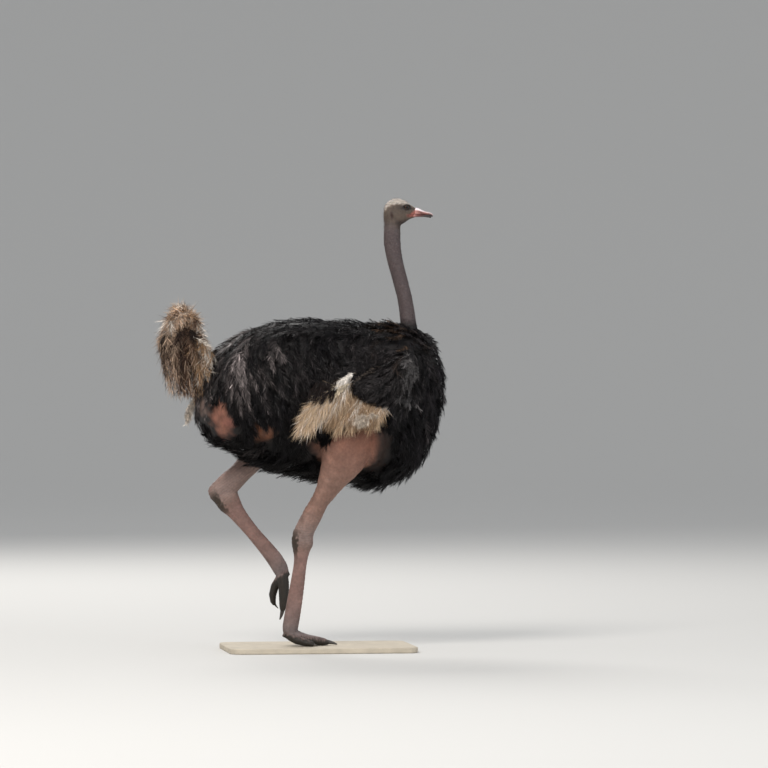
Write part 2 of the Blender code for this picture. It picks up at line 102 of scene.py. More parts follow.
def circle(count: int) -> Array:
    """Angles that go once around in equal steps."""
    return np.linspace(0, 2 * math.pi, count, endpoint=False)


def squared(wave: Array, squareness: float) -> Array:
    """A sine or cosine bent so that its circle grows squarer, where 2 is round."""
    return np.sign(wave) * np.abs(wave) ** (2 / squareness)


def between(a: Array, b: Array, c: Array, d: Array, f: Array) -> Array:
    """Points at these shares of the way from b to c, on a Catmull-Rom curve through all four."""
    return b + 0.5 * f * (c - a + f * (2 * a - 5 * b + 4 * c - d + f * (3 * (b - c) + d - a)))


def spline(rows: Array, at: Array) -> Array:
    """Points on a smooth curve through rows.

    Args:
        rows: the knots, knots first, of any further shape.
        at: where to read the curve, from 0 to 1.

    Returns:
        One entry for each entry of at.
    """
    rows = np.asarray(rows, float)
    last = len(rows) - 1
    t = np.clip(at, 0, 1) * last
    k = np.minimum(t.astype(int), last - 1)
    f = (t - k).reshape(-1, *([1] * (rows.ndim - 1)))
    return between(*(rows[np.clip(k + i, 0, last)] for i in (-1, 0, 1, 2)), f)


def ripple(points: Array, size: float, seed: int) -> Array:
    """Smooth random values from about -1 to 1 over space, one for each place.

    Args:
        points: places, as rows.
        size: rough width of one bump, in metres.
        seed: which of many such fields.

    Returns:
        One value for each place.
    """
    rng = np.random.default_rng(seed)
    waves = unit(rng.normal(size=(7, 3))) * (2 * math.pi / size) * rng.uniform(0.5, 1.3, (7, 1))
    starts = rng.uniform(0, 2 * math.pi, 7)
    return np.sin(points @ waves.T + starts).sum(1) / 3.2


def groove(position: Array, pitch: float, width: float) -> Array:
    """1 along the lines that repeat at this pitch, and 0 between them."""
    away = np.abs(np.mod(position / pitch, 1) - 0.5) * 2
    return np.exp(-((1 - away) * pitch / 2 / width) ** 2)


def overlaid(base: Array, *layers: tuple[Triple, Array]) -> Array:
    """Colours or ways, as rows, with others laid over them in turn, each by its own weights."""
    for colour, weight in layers:
        base = base + (np.array(colour) - base) * np.clip(weight, 0, 1)[:, None]
    return base


def along_surface(way: Array, normals: Array) -> Array:
    """These ways bent into the surface with these normals."""
    return unit(way - normals * (way * normals).sum(1)[:, None])


def node_box(node: str) -> tuple[Array, Array]:
    """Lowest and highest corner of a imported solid."""
    low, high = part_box(node)
    return np.array(low), np.array(high)


SOLE = node_box("stand_base")[1][2]       # what the foot stands on; heights are above it
FLOAT = SOLE + 0.0004                     # the lowest that skin and claws reach


# ---- meshes


def placed(name: str, data: bpy.types.ID) -> Piece:
    """An object of this data in the scene."""
    made = bpy.data.objects.new(name, data)
    bpy.context.scene.collection.objects.link(made)
    return made


def add_object(name: str, points: Array, faces: list[tuple[int, ...]]) -> Piece:
    """A smooth-shaded mesh object in the scene."""
    mesh = bpy.data.meshes.new(name)
    mesh.from_pydata(np.asarray(points, float).tolist(), [], faces)
    mesh.update()
    mesh.shade_smooth()
    return placed(name, mesh)


def quads(rings: Array, closed: bool = False) -> list[tuple[int, ...]]:
    """Faces between neighbouring rings, and from the last to the first where closed."""
    count, sides = rings.shape[:2]
    return [(k * sides + j, k * sides + (j + 1) % sides,
             (k + 1) % count * sides + (j + 1) % sides, (k + 1) % count * sides + j)
            for k in range(count - 1 + closed) for j in range(sides)]


def tube(name: str, rings: Array) -> Piece:
    """A closed skin over rings of equally many points, each end closed by a fan.

    Args:
        name: the object's name.
        rings: (rings, sides, 3) points.

    Returns:
        The object.
    """
    count, sides = rings.shape[:2]
    points = [*rings.reshape(-1, 3), rings[0].mean(0), rings[-1].mean(0)]
    first, last = count * sides, (count - 1) * sides
    faces = quads(rings) + [(first, (j + 1) % sides, j) for j in range(sides)]
    faces += [(first + 1, last + j, last + (j + 1) % sides) for j in range(sides)]
    return add_object(name, np.array(points), faces)


def hoop(name: str, path: Array, radius: float, sides: int = 10) -> Piece:
    """A closed ring of tube along a closed path.

    Args:
        name: the object's name.
        path: points around the ring.
        radius: the tube's radius.
        sides: corners around the tube.

    Returns:
        The object.
    """
    along = unit(np.roll(path, -1, 0) - np.roll(path, 1, 0))
    up = unit(np.cross(along, unit(path - path.mean(0))))
    out = np.cross(up, along)
    turns = circle(sides)[None, :, None]
    rings = path[:, None] + radius * (np.cos(turns) * out[:, None] + np.sin(turns) * up[:, None])
    return add_object(name, rings.reshape(-1, 3), quads(rings, True))


def set_tint(mesh: Mesh, colours: Array) -> None:
    """Stores one colour for each vertex, which the finishes read as tint."""
    layer = mesh.attributes.new("tint", "FLOAT_COLOR", "POINT")
    full = np.ones((len(mesh.vertices), 4), np.float32)
    full[:, :3] = colours
    layer.data.foreach_set("color", full.ravel())


def read(rows: bpy.types.bpy_prop_collection, what: str, width: int, kind: type = np.float32) -> Array:
    """One property of a mesh's vertices, edges or triangles, as rows."""
    values = np.empty(len(rows) * width, kind)
    rows.foreach_get(what, values)
    return values.reshape(-1, width)


def vertex_places(mesh: Mesh) -> Array:
    """The vertices of a mesh as rows."""
    return read(mesh.vertices, "co", 3).astype(float)


def vertex_normals(mesh: Mesh) -> Array:
    """The vertex normals of a mesh as rows."""
    return read(mesh.vertices, "normal", 3).astype(float)


def corners_of(mesh: Mesh) -> Array:
    """The corners of a mesh's triangles as rows."""
    mesh.calc_loop_triangles()
    return read(mesh.loop_triangles, "vertices", 3, np.int32)


def triangle_count(piece: Piece) -> int:
    """How many triangles a piece has."""
    return sum(len(p.vertices) - 2 for p in piece.data.polygons)


def move_vertices(mesh: Mesh, places: Array) -> None:
    """Puts the vertices at these places."""
    mesh.vertices.foreach_set("co", places.astype(np.float32).ravel())
    mesh.update()


def settle(piece: Piece) -> None:
    """Keeps what the piece's modifiers make as its own mesh."""
    bpy.context.view_layer.update()
    graph = bpy.context.evaluated_depsgraph_get()
    made = bpy.data.meshes.new_from_object(piece.evaluated_get(graph))
    piece.modifiers.clear()
    piece.data = made
    made.shade_smooth()


def grown_together(name: str, pieces: list[Piece], grain: float, rounds: int) -> Piece:
    """One seamless mesh over overlapping closed pieces.

    Args:
        name: the new object's name.
        pieces: closed pieces that overlap, which are removed.
        grain: size of the new mesh's faces.
        rounds: how many times the surface is smoothed.

    Returns:
        The object.
    """
    points, faces, start = [], [], 0
    for piece in pieces:
        points.append(vertex_places(piece.data))
        faces += [tuple(start + v for v in p.vertices) for p in piece.data.polygons]
        start += len(points[-1])
        bpy.data.objects.remove(piece)
    whole = add_object(name, np.concatenate(points), faces)
    cast = whole.modifiers.new("cast", "REMESH")
    cast.mode = "VOXEL"
    cast.voxel_size = grain
    soft = whole.modifiers.new("soft", "SMOOTH")
    soft.factor = 0.5
    soft.iterations = rounds
    settle(whole)
    return whole


def relax(mesh: Mesh, weight: Array, rounds: int) -> None:
    """Draws the vertices together, to melt steps where parts meet.

    Args:
        mesh: the mesh.
        weight: how strongly each vertex takes part, from 0 to 1.
        rounds: how many times.
    """
    a, b = read(mesh.edges, "vertices", 2, np.int32).T
    places = vertex_places(mesh)
    count = len(places)
    neighbours = np.bincount(np.concatenate((a, b)), minlength=count)[:, None]
    for _ in range(rounds):
        total = np.stack([np.bincount(a, places[b, k], count) + np.bincount(b, places[a, k], count)
                          for k in range(3)], 1)
        places += (total / np.maximum(neighbours, 1) - places) * 0.6 * weight[:, None]
    move_vertices(mesh, places)


# ---- finishes


def fill(node: bpy.types.Node, values: dict[str, object]) -> bpy.types.Node:
    """Gives a node's inputs their values, or links them where the value is another node's output."""
    for name, value in values.items():
        if isinstance(value, bpy.types.NodeSocket):
            node.id_data.links.new(value, node.inputs[name])
        else:
            node.inputs[name].default_value = value
    return node


@dataclass(frozen=True)
class Finish:
    """A finish made of the surface's own tint, fine mottling and bumps."""

    name: str
    slot: str
    roughness: float
    specular: float
    mottle: float                  # how strongly the mottling darkens and lightens
    mottle_size: float
    bump_size: float = 0.003
    bump: float = 0.0              # height of the bumps, in metres
    pebbled: bool = False          # rounded bumps like pores and scales, else plain grain
    coat: float = 0.0
    subsurface: float = 0.0
    tint: Triple | None = None     # one colour instead of the mesh's own

    def material(self) -> bpy.types.Material:
        """The finish as a material, made once.

        Returns:
            The material.
        """
        found = bpy.data.materials.get(self.name)
        if found:
            return found
        made = bpy.data.materials.new(self.name)
        made.use_nodes = True
        nodes = made.node_tree.nodes
        shader = nodes["Principled BSDF"]
        place = nodes.new("ShaderNodeTexCoord").outputs["Object"]
        mottling = fill(nodes.new("ShaderNodeTexNoise"), {
            "Scale": 1 / self.mottle_size, "Detail": 5.0, "Vector": place})
        ramp = fill(nodes.new("ShaderNodeMapRange"), {
            "From Min": 0.3, "From Max": 0.7, "To Min": 1 - self.mottle, "To Max": 1 + self.mottle,
            "Value": mottling.outputs["Fac"]})
        if self.tint is None:
            own = nodes.new("ShaderNodeAttribute")
            own.attribute_name = "tint"
        tint = own.outputs["Color"] if self.tint is None else (*self.tint, 1.0)
        colour = nodes.new("ShaderNodeMix")
        colour.data_type = "RGBA"
        colour.blend_type = "MULTIPLY"
        fill(colour, {"Factor": 1.0, "A": tint, "B": ramp.outputs["Result"]})
        fill(shader, {
            "Base Color": colour.outputs["Result"], "Roughness": self.roughness,
            "Specular IOR Level": self.specular, "Coat Weight": self.coat, "Coat Roughness": 0.06,
            "Subsurface Weight": self.subsurface, "Subsurface Scale": 0.004})
        if self.bump:
            grain = nodes.new("ShaderNodeTexVoronoi" if self.pebbled else "ShaderNodeTexNoise")
            if self.pebbled:
                grain.feature = "SMOOTH_F1"
            fill(grain, {"Smoothness": 0.4} if self.pebbled else {"Detail": 3.0})
            fill(grain, {"Scale": 1 / self.bump_size, "Vector": place})
            bumps = fill(nodes.new("ShaderNodeBump"), {
                "Strength": 1.0, "Distance": self.bump,
                "Height": grain.outputs["Distance" if self.pebbled else "Fac"]})
            bumps.invert = self.pebbled
            fill(shader, {"Normal": bumps.outputs["Normal"]})
        return made

    def dress(self, piece: Piece) -> Piece:
        """Gives the piece this finish and lets it ride on the body."""
        piece.data.materials.clear()
        piece.data.materials.append(self.material())
        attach(piece, BODY)
        return piece


BLACK_FEATHER = Finish("black_feather", "black_plumage", 0.38, 0.105, 0.3, 0.02)
PALE_FEATHER = Finish("pale_feather", "pale_plumage", 0.85, 0.2, 0.12, 0.02)
TAIL_FEATHER = Finish("tail_feather", "tail_plumage", 0.85, 0.2, 0.2, 0.015)
DOWN = Finish("neck_hair", "neck_down", 0.9, 0.15, 0.15, 0.01)
BARE_SKIN = Finish("pebbled_skin", "bare_skin", 0.62, 0.35, 0.16, 0.012,
                   bump_size=0.0045, bump=0.0011, pebbled=True, subsurface=0.06)
EYE_GLOSS = Finish("eye_gloss", "eye", 0.08, 0.2, 0.1, 0.002, coat=0.12)
HORN = Finish("worn_bill", "bill_horn", 0.42, 0.5, 0.1, 0.006,
              bump_size=0.0015, bump=0.00012, subsurface=0.05)
CLAW = Finish("worn_claw", "claw_horn", 0.45, 0.5, 0.3, 0.004,
              bump_size=0.0012, bump=0.0002, tint=(0.045, 0.038, 0.034))
BOARD = Finish("painted_board", "base_board", 0.7, 0.3, 0.1, 0.05,
               bump_size=0.002, bump=0.0002, tint=(0.5, 0.44, 0.35))


# ---- forms


def upright_rings(x: Array, top: Array, bottom: Array, widest: Array, half: Array, squareness: float,
                  sides: int) -> Array:
    """Upright rings across X, each rounded over its widest line and under it.

    Args:
        x: where each ring is.
        top: its top.
        bottom: its bottom.
        widest: the height of its widest line.
        half: its half width.
        squareness: 2 for ovals, more for squarer rings.
        sides: points in each ring.

    Returns:
        (rings, sides, 3) points.
    """
    cosine, sine = np.cos(circle(sides)), np.sin(circle(sides))
    reach = np.where(sine > 0, (top - widest)[:, None], (widest - bottom)[:, None])
    return np.stack((np.broadcast_to(x[:, None], reach.shape), half[:, None] * squared(cosine, squareness),
                     widest[:, None] + reach * squared(sine, squareness)), 2)


@dataclass
class Limb:
    """A long part as oval slices square to its own length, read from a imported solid.

    Each row is a slice's middle, then its half sizes to the fore and across.
    """

    rows: Array
    fore_axis: Array
    across_axis: Array

    @classmethod
    def measured(cls, node: str, count: int, first: Array, margin: float = 0.012) -> "Limb":
        """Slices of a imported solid.

        Args:
            node: the solid's name.
            count: how many slices.
            first: the direction, from the middle, of the end that comes first.
            margin: how far inside its ends the first and last slices lie, as a share of its length.

        Returns:
            The limb.
        """
        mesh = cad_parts[node].data
        places = vertex_places(mesh)
        start, end = read(mesh.edges, "vertices", 2, np.int32).T
        spread = places - places.mean(0)
        along = np.linalg.eigh(spread.T @ spread)[1][:, -1]
        along = -along if along @ first > 0 else along
        upright = UP if abs(along[0]) > 0.8 else AHEAD
        fore = unit(upright - along * (upright @ along))
        across = np.cross(along, fore)
        reach = places @ along
        low, high = reach.min(), reach.max()
        rows = []
        for share in margin + (1 - 2 * margin) * (1 - np.cos(np.linspace(0, math.pi, count))) / 2:
            level = low + (high - low) * share
            a, b = (reach - level)[start], (reach - level)[end]
            cut = a * b < 0
            t = (a[cut] / (a - b)[cut])[:, None]
            met = places[start[cut]] * (1 - t) + places[end[cut]] * t
            f, s = met @ fore, met @ across
            middle = along * level + fore * (f.max() + f.min()) / 2 + across * (s.max() + s.min()) / 2
            rows.append((*middle, np.ptp(f) / 2, np.ptp(s) / 2))
        return cls(np.array(rows), fore, across)

    @property
    def centres(self) -> Array:
        """The middles of the slices."""
        return self.rows[:, :3]

    def trimmed(self, before: int, after: int) -> "Limb":
        """The same limb without so many slices at its ends."""
        return replace(self, rows=self.rows[before:len(self.rows) - after])

    def extended(self, before: float, after: float) -> "Limb":
        """The same limb made longer at its ends, with the sizes of its end slices."""
        rows = self.rows
        first, last = rows[0].copy(), rows[-1].copy()
        first[:3] += unit(rows[0, :3] - rows[4, :3]) * before
        last[:3] += unit(rows[-1, :3] - rows[-5, :3]) * after
        return replace(self, rows=np.vstack([first] * (before > 0) + [rows] + [last] * (after > 0)))

    def refined(self, count: int) -> "Limb":
        """The same limb with more slices, on smooth curves through them."""
        return replace(self, rows=spline(self.rows, np.linspace(0, 1, count)))

    def rings(self, sides: int) -> Array:
        """Points around each slice."""
        turns = circle(sides)[None, :, None]
        fore = self.rows[:, 3, None, None] * np.cos(turns) * self.fore_axis
        across = self.rows[:, 4, None, None] * np.sin(turns) * self.across_axis
        return self.centres[:, None] + fore + across

    def locate(self, points: Array) -> tuple[Array, Array, Array]:
        """Where points lie along and around the limb.

        Args:
            points: places, as rows.

        Returns:
            For each, its share of the length, its offset to the fore and its offset across, both as
            shares of the slice there.
        """
        fine = self.refined(120)
        nearest = np.concatenate([((part[:, None] - fine.centres[None]) ** 2).sum(2).argmin(1)
                                  for part in np.array_split(points, len(points) // 20000 + 1)])
        away, row = points - fine.centres[nearest], fine.rows[nearest]
        return nearest / 119, away @ fine.fore_axis / row[:, 3], away @ fine.across_axis / row[:, 4]


@dataclass(frozen=True)
class Oval:
    """A tilted oval seen from the side, with its half length, its half height and its tilt in degrees."""

    ahead: float
    above: float
    long: float
    tall: float
    tilt: float

    def out(self, ahead: Array, above: Array) -> tuple[Array, Array]:
        """How far out places are along it and over it, where 1 is its edge."""
        turn = math.radians(self.tilt)
        a, b = ahead - self.ahead, above - self.above
        return ((a * math.cos(turn) + b * math.sin(turn)) / self.long,
                (b * math.cos(turn) - a * math.sin(turn)) / self.tall)


@dataclass(frozen=True)
class BarePatch(Oval):
    """A ragged oval of bare skin on both sides of the bird, placed along X and above the sole."""

    tint: Triple
    ragged: float = 0.22

    def reach(self, points: Array) -> Array:
        """How far out points lie, where 1 is the patch's edge."""
        along, over = self.out(points[:, 0], points[:, 2] - SOLE)
        return np.hypot(along, over) + self.ragged * ripple(points, 0.06, 41)

    def cover(self, points: Array) -> Array:
        """How bare the skin is at these points, from 0 to 1."""
        return 1 - ease(0.9, 1.5, self.reach(points))


@dataclass(frozen=True)
class Dent(Oval):
    """A soft hollow, or with a negative depth a swelling, on both sides of the head.

    Its place is ahead of the eye and above it.
    """

    depth: float = 1.0

    def strength(self, ahead: Array, above: Array) -> Array:
        """1 in its middle, falling off around."""
        along, over = self.out(ahead, above)
        return np.exp(-along ** 2 - over ** 2)


@dataclass
class TrunkForm:
    """The smooth form of the feathered trunk, as upright oval slices from rump to breast.

    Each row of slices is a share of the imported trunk's length, then top, bottom and widest line as
    shares of its height, and the half width as a share of its own.
    """

    slices: Array = field(default_factory=lambda: np.array((
        (0.0000, 0.476, 0.465, 0.470, 0.015),
        (0.0100, 0.580, 0.383, 0.480, 0.270),
        (0.0510, 0.713, 0.312, 0.520, 0.530),
        (0.1110, 0.817, 0.252, 0.543, 0.710),
        (0.2010, 0.904, 0.185, 0.566, 0.865),
        (0.3050, 0.975, 0.114, 0.578, 0.950),
        (0.4250, 1.000, 0.058, 0.566, 0.990),
        (0.5450, 0.994, 0.030, 0.555, 1.000),
        (0.6650, 0.972, 0.005, 0.543, 0.985),
        (0.7700, 0.966, 0.000, 0.532, 0.930),
        (0.8520, 0.947, 0.058, 0.543, 0.830),
        (0.9190, 0.892, 0.178, 0.566, 0.680),
        (0.9680, 0.811, 0.326, 0.590, 0.470),
        (0.9925, 0.707, 0.470, 0.601, 0.250),
        (1.0000, 0.608, 0.596, 0.601, 0.015))))
    squareness: float = 2.1
    slack: float = 0.008           # how far the form keeps inside the solid's own box
    rings: int = 72                # and as many points in each

    def skin(self, depth: float, patches: tuple[BarePatch, ...], patch_depth: float) -> Array:
        """Rings of the skin, deep under the plumage and near the form's surface in the bare patches.

        Args:
            depth: how deep it lies where the plumage is full.
            patches: the bare patches.
            patch_depth: how deep it lies in them.

        Returns:
            (rings, sides, 3) points.
        """
        low, high = node_box("trunk")
        low, high = low + self.slack, high - self.slack
        size = high - low
        share, top, bottom, widest, half = spline(self.slices, np.linspace(0, 1, self.rings)).T
        surface = upright_rings(low[0] + size[0] * share, low[2] + size[2] * top, low[2] + size[2] * bottom,
                                low[2] + size[2] * widest, size[1] / 2 * half, self.squareness, self.rings)
        inward = -unit(surface - (low + high) / 2 * (1, 0, 1))
        bare = np.max([patch.cover(surface.reshape(-1, 3)) for patch in patches], 0)
        x = surface[..., 0]
        shallow = np.max((0.5 * ease(-0.3, -0.56, x), 0.4 * ease(0.44, 0.6, x),
                          0.5 * ease(0.6, 0.95, -inward[..., 2]),
                          0.85 * ease(-0.38, -0.5, x) * ease(0.12, 0.36, inward[..., 2])), 0)
        depth = depth * (1 - shallow)
        return surface + inward * (depth + (patch_depth - depth) * bare.reshape(x.shape))[..., None]


class Guide:
    """A closed surface that plumes are laid on."""

    def __init__(self, nodes: list[str], grain: float, rounds: int) -> None:
        """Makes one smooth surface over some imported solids.

        Args:
            nodes: the solids.
            grain: size of its faces.
            rounds: how many times it is smoothed.
        """
        solids = [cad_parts[node].data for node in nodes]
        copies = [add_object("guide_copy", vertex_places(mesh), [tuple(p.vertices) for p in mesh.polygons])
                  for mesh in solids]
        whole = grown_together("guide", copies, grain, rounds)
        self.triangles = corners_of(whole.data)
        self.normals = vertex_normals(whole.data)
        self.points = vertex_places(whole.data)
        bpy.data.objects.remove(whole)
        self.tree = BVHTree.FromPolygons(self.points.tolist(), self.triangles.tolist())

    def scatter(self, count: int, rng: Random) -> Array:
        """Places spread evenly over the surface."""
        a, b, c = (self.points[self.triangles[:, k]] for k in range(3))
        areas = np.linalg.norm(np.cross(b - a, c - a), axis=1)
        steps = (np.arange(count) + rng.uniform(0, 1, count)) / count
        chosen = np.searchsorted(np.cumsum(areas) / areas.sum(), steps).clip(0, len(areas) - 1)
        s, t = rng.uniform(0, 1, (2, count, 1))
        s, t = np.where(s + t > 1, 1 - s, s), np.where(s + t > 1, 1 - t, t)
        return a[chosen] * (1 - s - t) + b[chosen] * s + c[chosen] * t

    def nearest(self, points: Array) -> tuple[Array, Array]:
        """The surface's nearest places to these points, and its normals there."""
        found = [self.tree.find_nearest(p) for p in points.tolist()]
        places = np.array([f[0][:] for f in found])
        corners = self.triangles[[f[2] for f in found]]
        gaps = np.linalg.norm(self.points[corners] - places[:, None], axis=2) + 1e-4
        return places, unit((self.normals[corners] / gaps[..., None]).sum(1))


# ---- plumage


@dataclass
class Shafts:
    """The bent shafts of many plumes."""

    points: Array                  # (plumes, knots, 3)
    facing: Array                  # (plumes, knots, 3), the way each plume's flat side looks
    barb: Array                    # (plumes,), its longest barbs
    tint: Array                    # (plumes, 3)
    place: Array                   # (plumes, 2), its root on the unwrap of the skin

    def __post_init__(self) -> None:
        """Lets one facing stand for a whole shaft."""
        self.facing = np.broadcast_to(self.facing, self.points.shape)

    def chosen(self, which: Array) -> "Shafts":
        """Only these plumes."""
        parts = (self.points, self.facing, self.barb, self.tint, self.place)
        return Shafts(*(rows[which] for rows in parts))


def ladder(rungs: int) -> list[tuple[int, ...]]:
    """The triangles of a strip whose corners come in pairs, one pair for each rung."""
    step = ((0, 1, 3), (0, 3, 2))
    return [(2 * k + a, 2 * k + b, 2 * k + c) for k in range(rungs - 1) for a, b, c in step]


@dataclass(frozen=True)
class Feathering:
    """How loose barbs grow from a shaft, as thin pointed blades."""

    barbs: int = 44
    blade: float = 0.0012          # half a barb's width
    splay: float = 0.95            # angle between shaft and barb, in radians
    sweep: float = 0.35            # how far barbs curve towards the tip, as a share of their length
    hang: float = 0.25             # how far they hang down, as a share
    frizz: float = 0.22            # how far they stray, as a share
    lift: float = 0.12             # how far they rise off the plume's face
    shaft: float = 0.0009          # half the shaft's width
    root_shade: float = 0.75       # the tint at a barb's root, as a share of its tip's
    bare: float = 0.06             # bare length at the shaft's root, as a share
    streak: float = 0.18           # how much single barbs differ in tint
    cuts: tuple[float, ...] = (0.0, 0.36, 0.7, 1.0)
    taper: tuple[float, ...] = (0.75, 1.0, 0.75)

    def grow(self, name: str, shafts: Shafts, finish: Finish, seed: int) -> list[Piece]:
        """Plumes on these shafts, as one or more joined meshes.

        Args:
            name: the pieces' name, which a number follows where there are more than one.
            shafts: the plumes' shafts.
            finish: their finish.
            seed: the source of chance.

        Returns:
            The pieces.
        """
        count, knots = shafts.points.shape[:2]
        triangles = self.barbs * (2 * len(self.taper) - 1) + 2 * (knots - 1)
        pieces = math.ceil(count / (COAT_PIECE_TRIANGLES // triangles))
        made = []
        for k, part in enumerate(np.array_split(np.arange(count), pieces)):
            piece_name = name if pieces == 1 else f"{name}_{k + 1}"
            made.append(finish.dress(self._piece(piece_name, shafts.chosen(part), seed + k)))
        return made

    def _piece(self, name: str, shafts: Shafts, seed: int) -> Piece:
        """One joined mesh of barbs and shafts."""
        rng = np.random.default_rng(seed)
        plumes, knots = shafts.points.shape[:2]
        barbs = self.barbs
        at = self.bare + (1 - self.bare) * (np.arange(barbs) + rng.uniform(0, 1, (plumes, barbs))) / barbs
        place, along, facing = self._read(shafts, at)
        hand = np.where(np.arange(barbs) % 2, 1.0, -1.0)[None, :, None]
        out = unit(np.cross(facing, along))
        full = 0.45 + 0.55 * np.sin(math.pi * (0.12 + 0.78 * at)) ** 0.7
        length = (shafts.barb[:, None] * full * rng.uniform(0.7, 1.2, (plumes, barbs)))[..., None]
        angle = (self.splay * (1.08 - 0.75 * at ** 2) * rng.uniform(0.75, 1.25, (plumes, barbs)))[..., None]
        start = unit(along * np.cos(angle) + hand * out * np.sin(angle)
                     + facing * self.lift * rng.normal(1, 0.6, (plumes, barbs, 1)))
        bend = (along * self.sweep - UP * self.hang
                + rng.normal(0, self.frizz, (plumes, barbs, 3)) - facing * self.lift)
        tilt = facing + rng.normal(0, 0.45, (plumes, barbs, 3))
        edges = []
        for cut, wide in zip(self.cuts, self.taper):
            middle = place + length * (start * cut + bend * cut ** 2)
            flat = unit(np.cross(start + 2 * bend * cut, tilt)) * self.blade * wide
            edges += [middle - flat, middle + flat]
        blades = np.stack([*edges, place + length * (start + bend)], 2)
        corners, segments = blades.shape[2], len(self.taper)
        strip = np.array([*ladder(segments), (2 * segments - 2, 2 * segments - 1, 2 * segments)])
        faces = np.arange(plumes * barbs)[:, None, None] * corners + strip
        reach = np.repeat(self.cuts, 2)[:corners]
        own = np.exp(rng.normal(0, self.streak, (plumes, barbs, 1, 1)))
        shade = (self.root_shade + (1 - self.root_shade) * reach)[None, None, :, None]
        tint = shafts.tint[:, None, None, :] * own * shade
        root_u, root_v = shafts.place.T[..., None, None]
        spots = np.stack((root_u + TUFT_PATCH * (at[..., None] - 0.5) + 0 * reach,
                          root_v + TUFT_PATCH * 0.5 * hand * reach), 3)

        wide = unit(np.cross(shafts.facing, np.gradient(shafts.points, axis=1))) * self.shaft
        wide *= np.linspace(1.0, 0.25, knots)[None, :, None]
        rails = np.stack((shafts.points - wide, shafts.points + wide), 2)
        first = plumes * barbs * corners
        rail_faces = first + np.arange(plumes)[:, None, None] * 2 * knots + np.array(ladder(knots))
        rail_tint = np.broadcast_to(shafts.tint[:, None, None] * 0.8, rails.shape)
        climb = np.linspace(-0.5, 0.5, knots)[:, None]
        rail_spots = np.stack((root_u + TUFT_PATCH * (climb + np.zeros(2)),
                               root_v + TUFT_PATCH * (np.array((-0.1, 0.1)) + 0 * climb)), 3)
        return fast_object(name, (blades, rails), (faces, rail_faces),
                           (tint, rail_tint), (spots, rail_spots))

    @staticmethod
    def _read(shafts: Shafts, at: Array) -> tuple[Array, Array, Array]:
        """Place, direction and facing of every shaft at its own shares of length."""
        plumes, knots = shafts.points.shape[:2]
        t = np.clip(at, 0, 1) * (knots - 1)
        k = np.minimum(t.astype(int), knots - 2)
        f = (t - k)[..., None]
        rows = np.arange(plumes)[:, None]
        a, b, c, d = (shafts.points[rows, np.clip(k + i, 0, knots - 1)] for i in (-1, 0, 1, 2))
        facing = unit(shafts.facing[rows, k] * (1 - f) + shafts.facing[rows, k + 1] * f)
        return between(a, b, c, d, f), unit(c - b), facing


def fast_object(name: str, points: tuple[Array, ...], triangles: tuple[Array, ...],
                tints: tuple[Array, ...], spots: tuple[Array, ...]) -> Piece:
    """A mesh object from arrays, with its tint and its OFBake map.

    Args:
        name: the object's name.
        points: vertices, one or more arrays of them, as are the others.
        triangles: three vertices for each face.
        tints: one colour for each vertex.
        spots: one place on the unwrap for each vertex.

    Returns:
        The object.
    """
    points, tints, spots = (np.concatenate([part.reshape(-1, part.shape[-1]) for part in parts])
                            for parts in (points, tints, spots))
    order = np.concatenate([part.ravel() for part in triangles])
    mesh = bpy.data.meshes.new(name)
    mesh.vertices.add(len(points))
    mesh.vertices.foreach_set("co", points.astype(np.float32).ravel())
    mesh.loops.add(len(order))
    mesh.loops.foreach_set("vertex_index", order.astype(np.int32))
    mesh.polygons.add(len(order) // 3)
    mesh.polygons.foreach_set("loop_start", np.arange(0, len(order), 3, dtype=np.int32))
    mesh.update(calc_edges=True)
    layer = mesh.uv_layers.new(name="OFBake")
    layer.uv.foreach_set("vector", spots[order].clip(0.001, 0.999).astype(np.float32).ravel())
    set_tint(mesh, tints)
    mesh.shade_smooth()
    return placed(name, mesh)


def laid_shafts(guide: Guide, roots: Array, lie: Callable[[Array, Array], Array], length: Array,
                depth: Array, rise: Array, knots: int, stray: Array) -> tuple[Array, Array]:
    """Shafts that leave the skin, come up through the coat and lie along it.

    Args:
        guide: the coat's outer form.
        roots: where each starts, on the form.
        lie: gives the lie of the coat for places and normals.
        length: each shaft's length.
        depth: how deep under the form each starts.
        rise: how far each tip stands off the form.
        knots: points in each shaft.
        stray: angle by which each strays from the lie, in radians.

    Returns:
        The shafts' points and the way they face.
    """
    here, normal = guide.nearest(roots)
    places, facings = [here], [normal]
    step = (length / (knots - 1))[:, None]
    for _ in range(knots - 1):
        ahead = lie(here, normal)
        aside = np.cross(normal, ahead)
        ahead = unit(ahead * np.cos(stray)[:, None] + aside * np.sin(stray)[:, None])
        here, normal = guide.nearest(here + ahead * step)
        places.append(here)
        facings.append(normal)
    share = np.linspace(0, 1, knots)[None, :, None]
    under = depth[:, None, None] * (1 - ease(-0.1, 0.42, share))
    over = rise[:, None, None] * share ** 2
    places, facings = np.stack(places, 1), np.stack(facings, 1)
    return places - facings * (under - over), facings


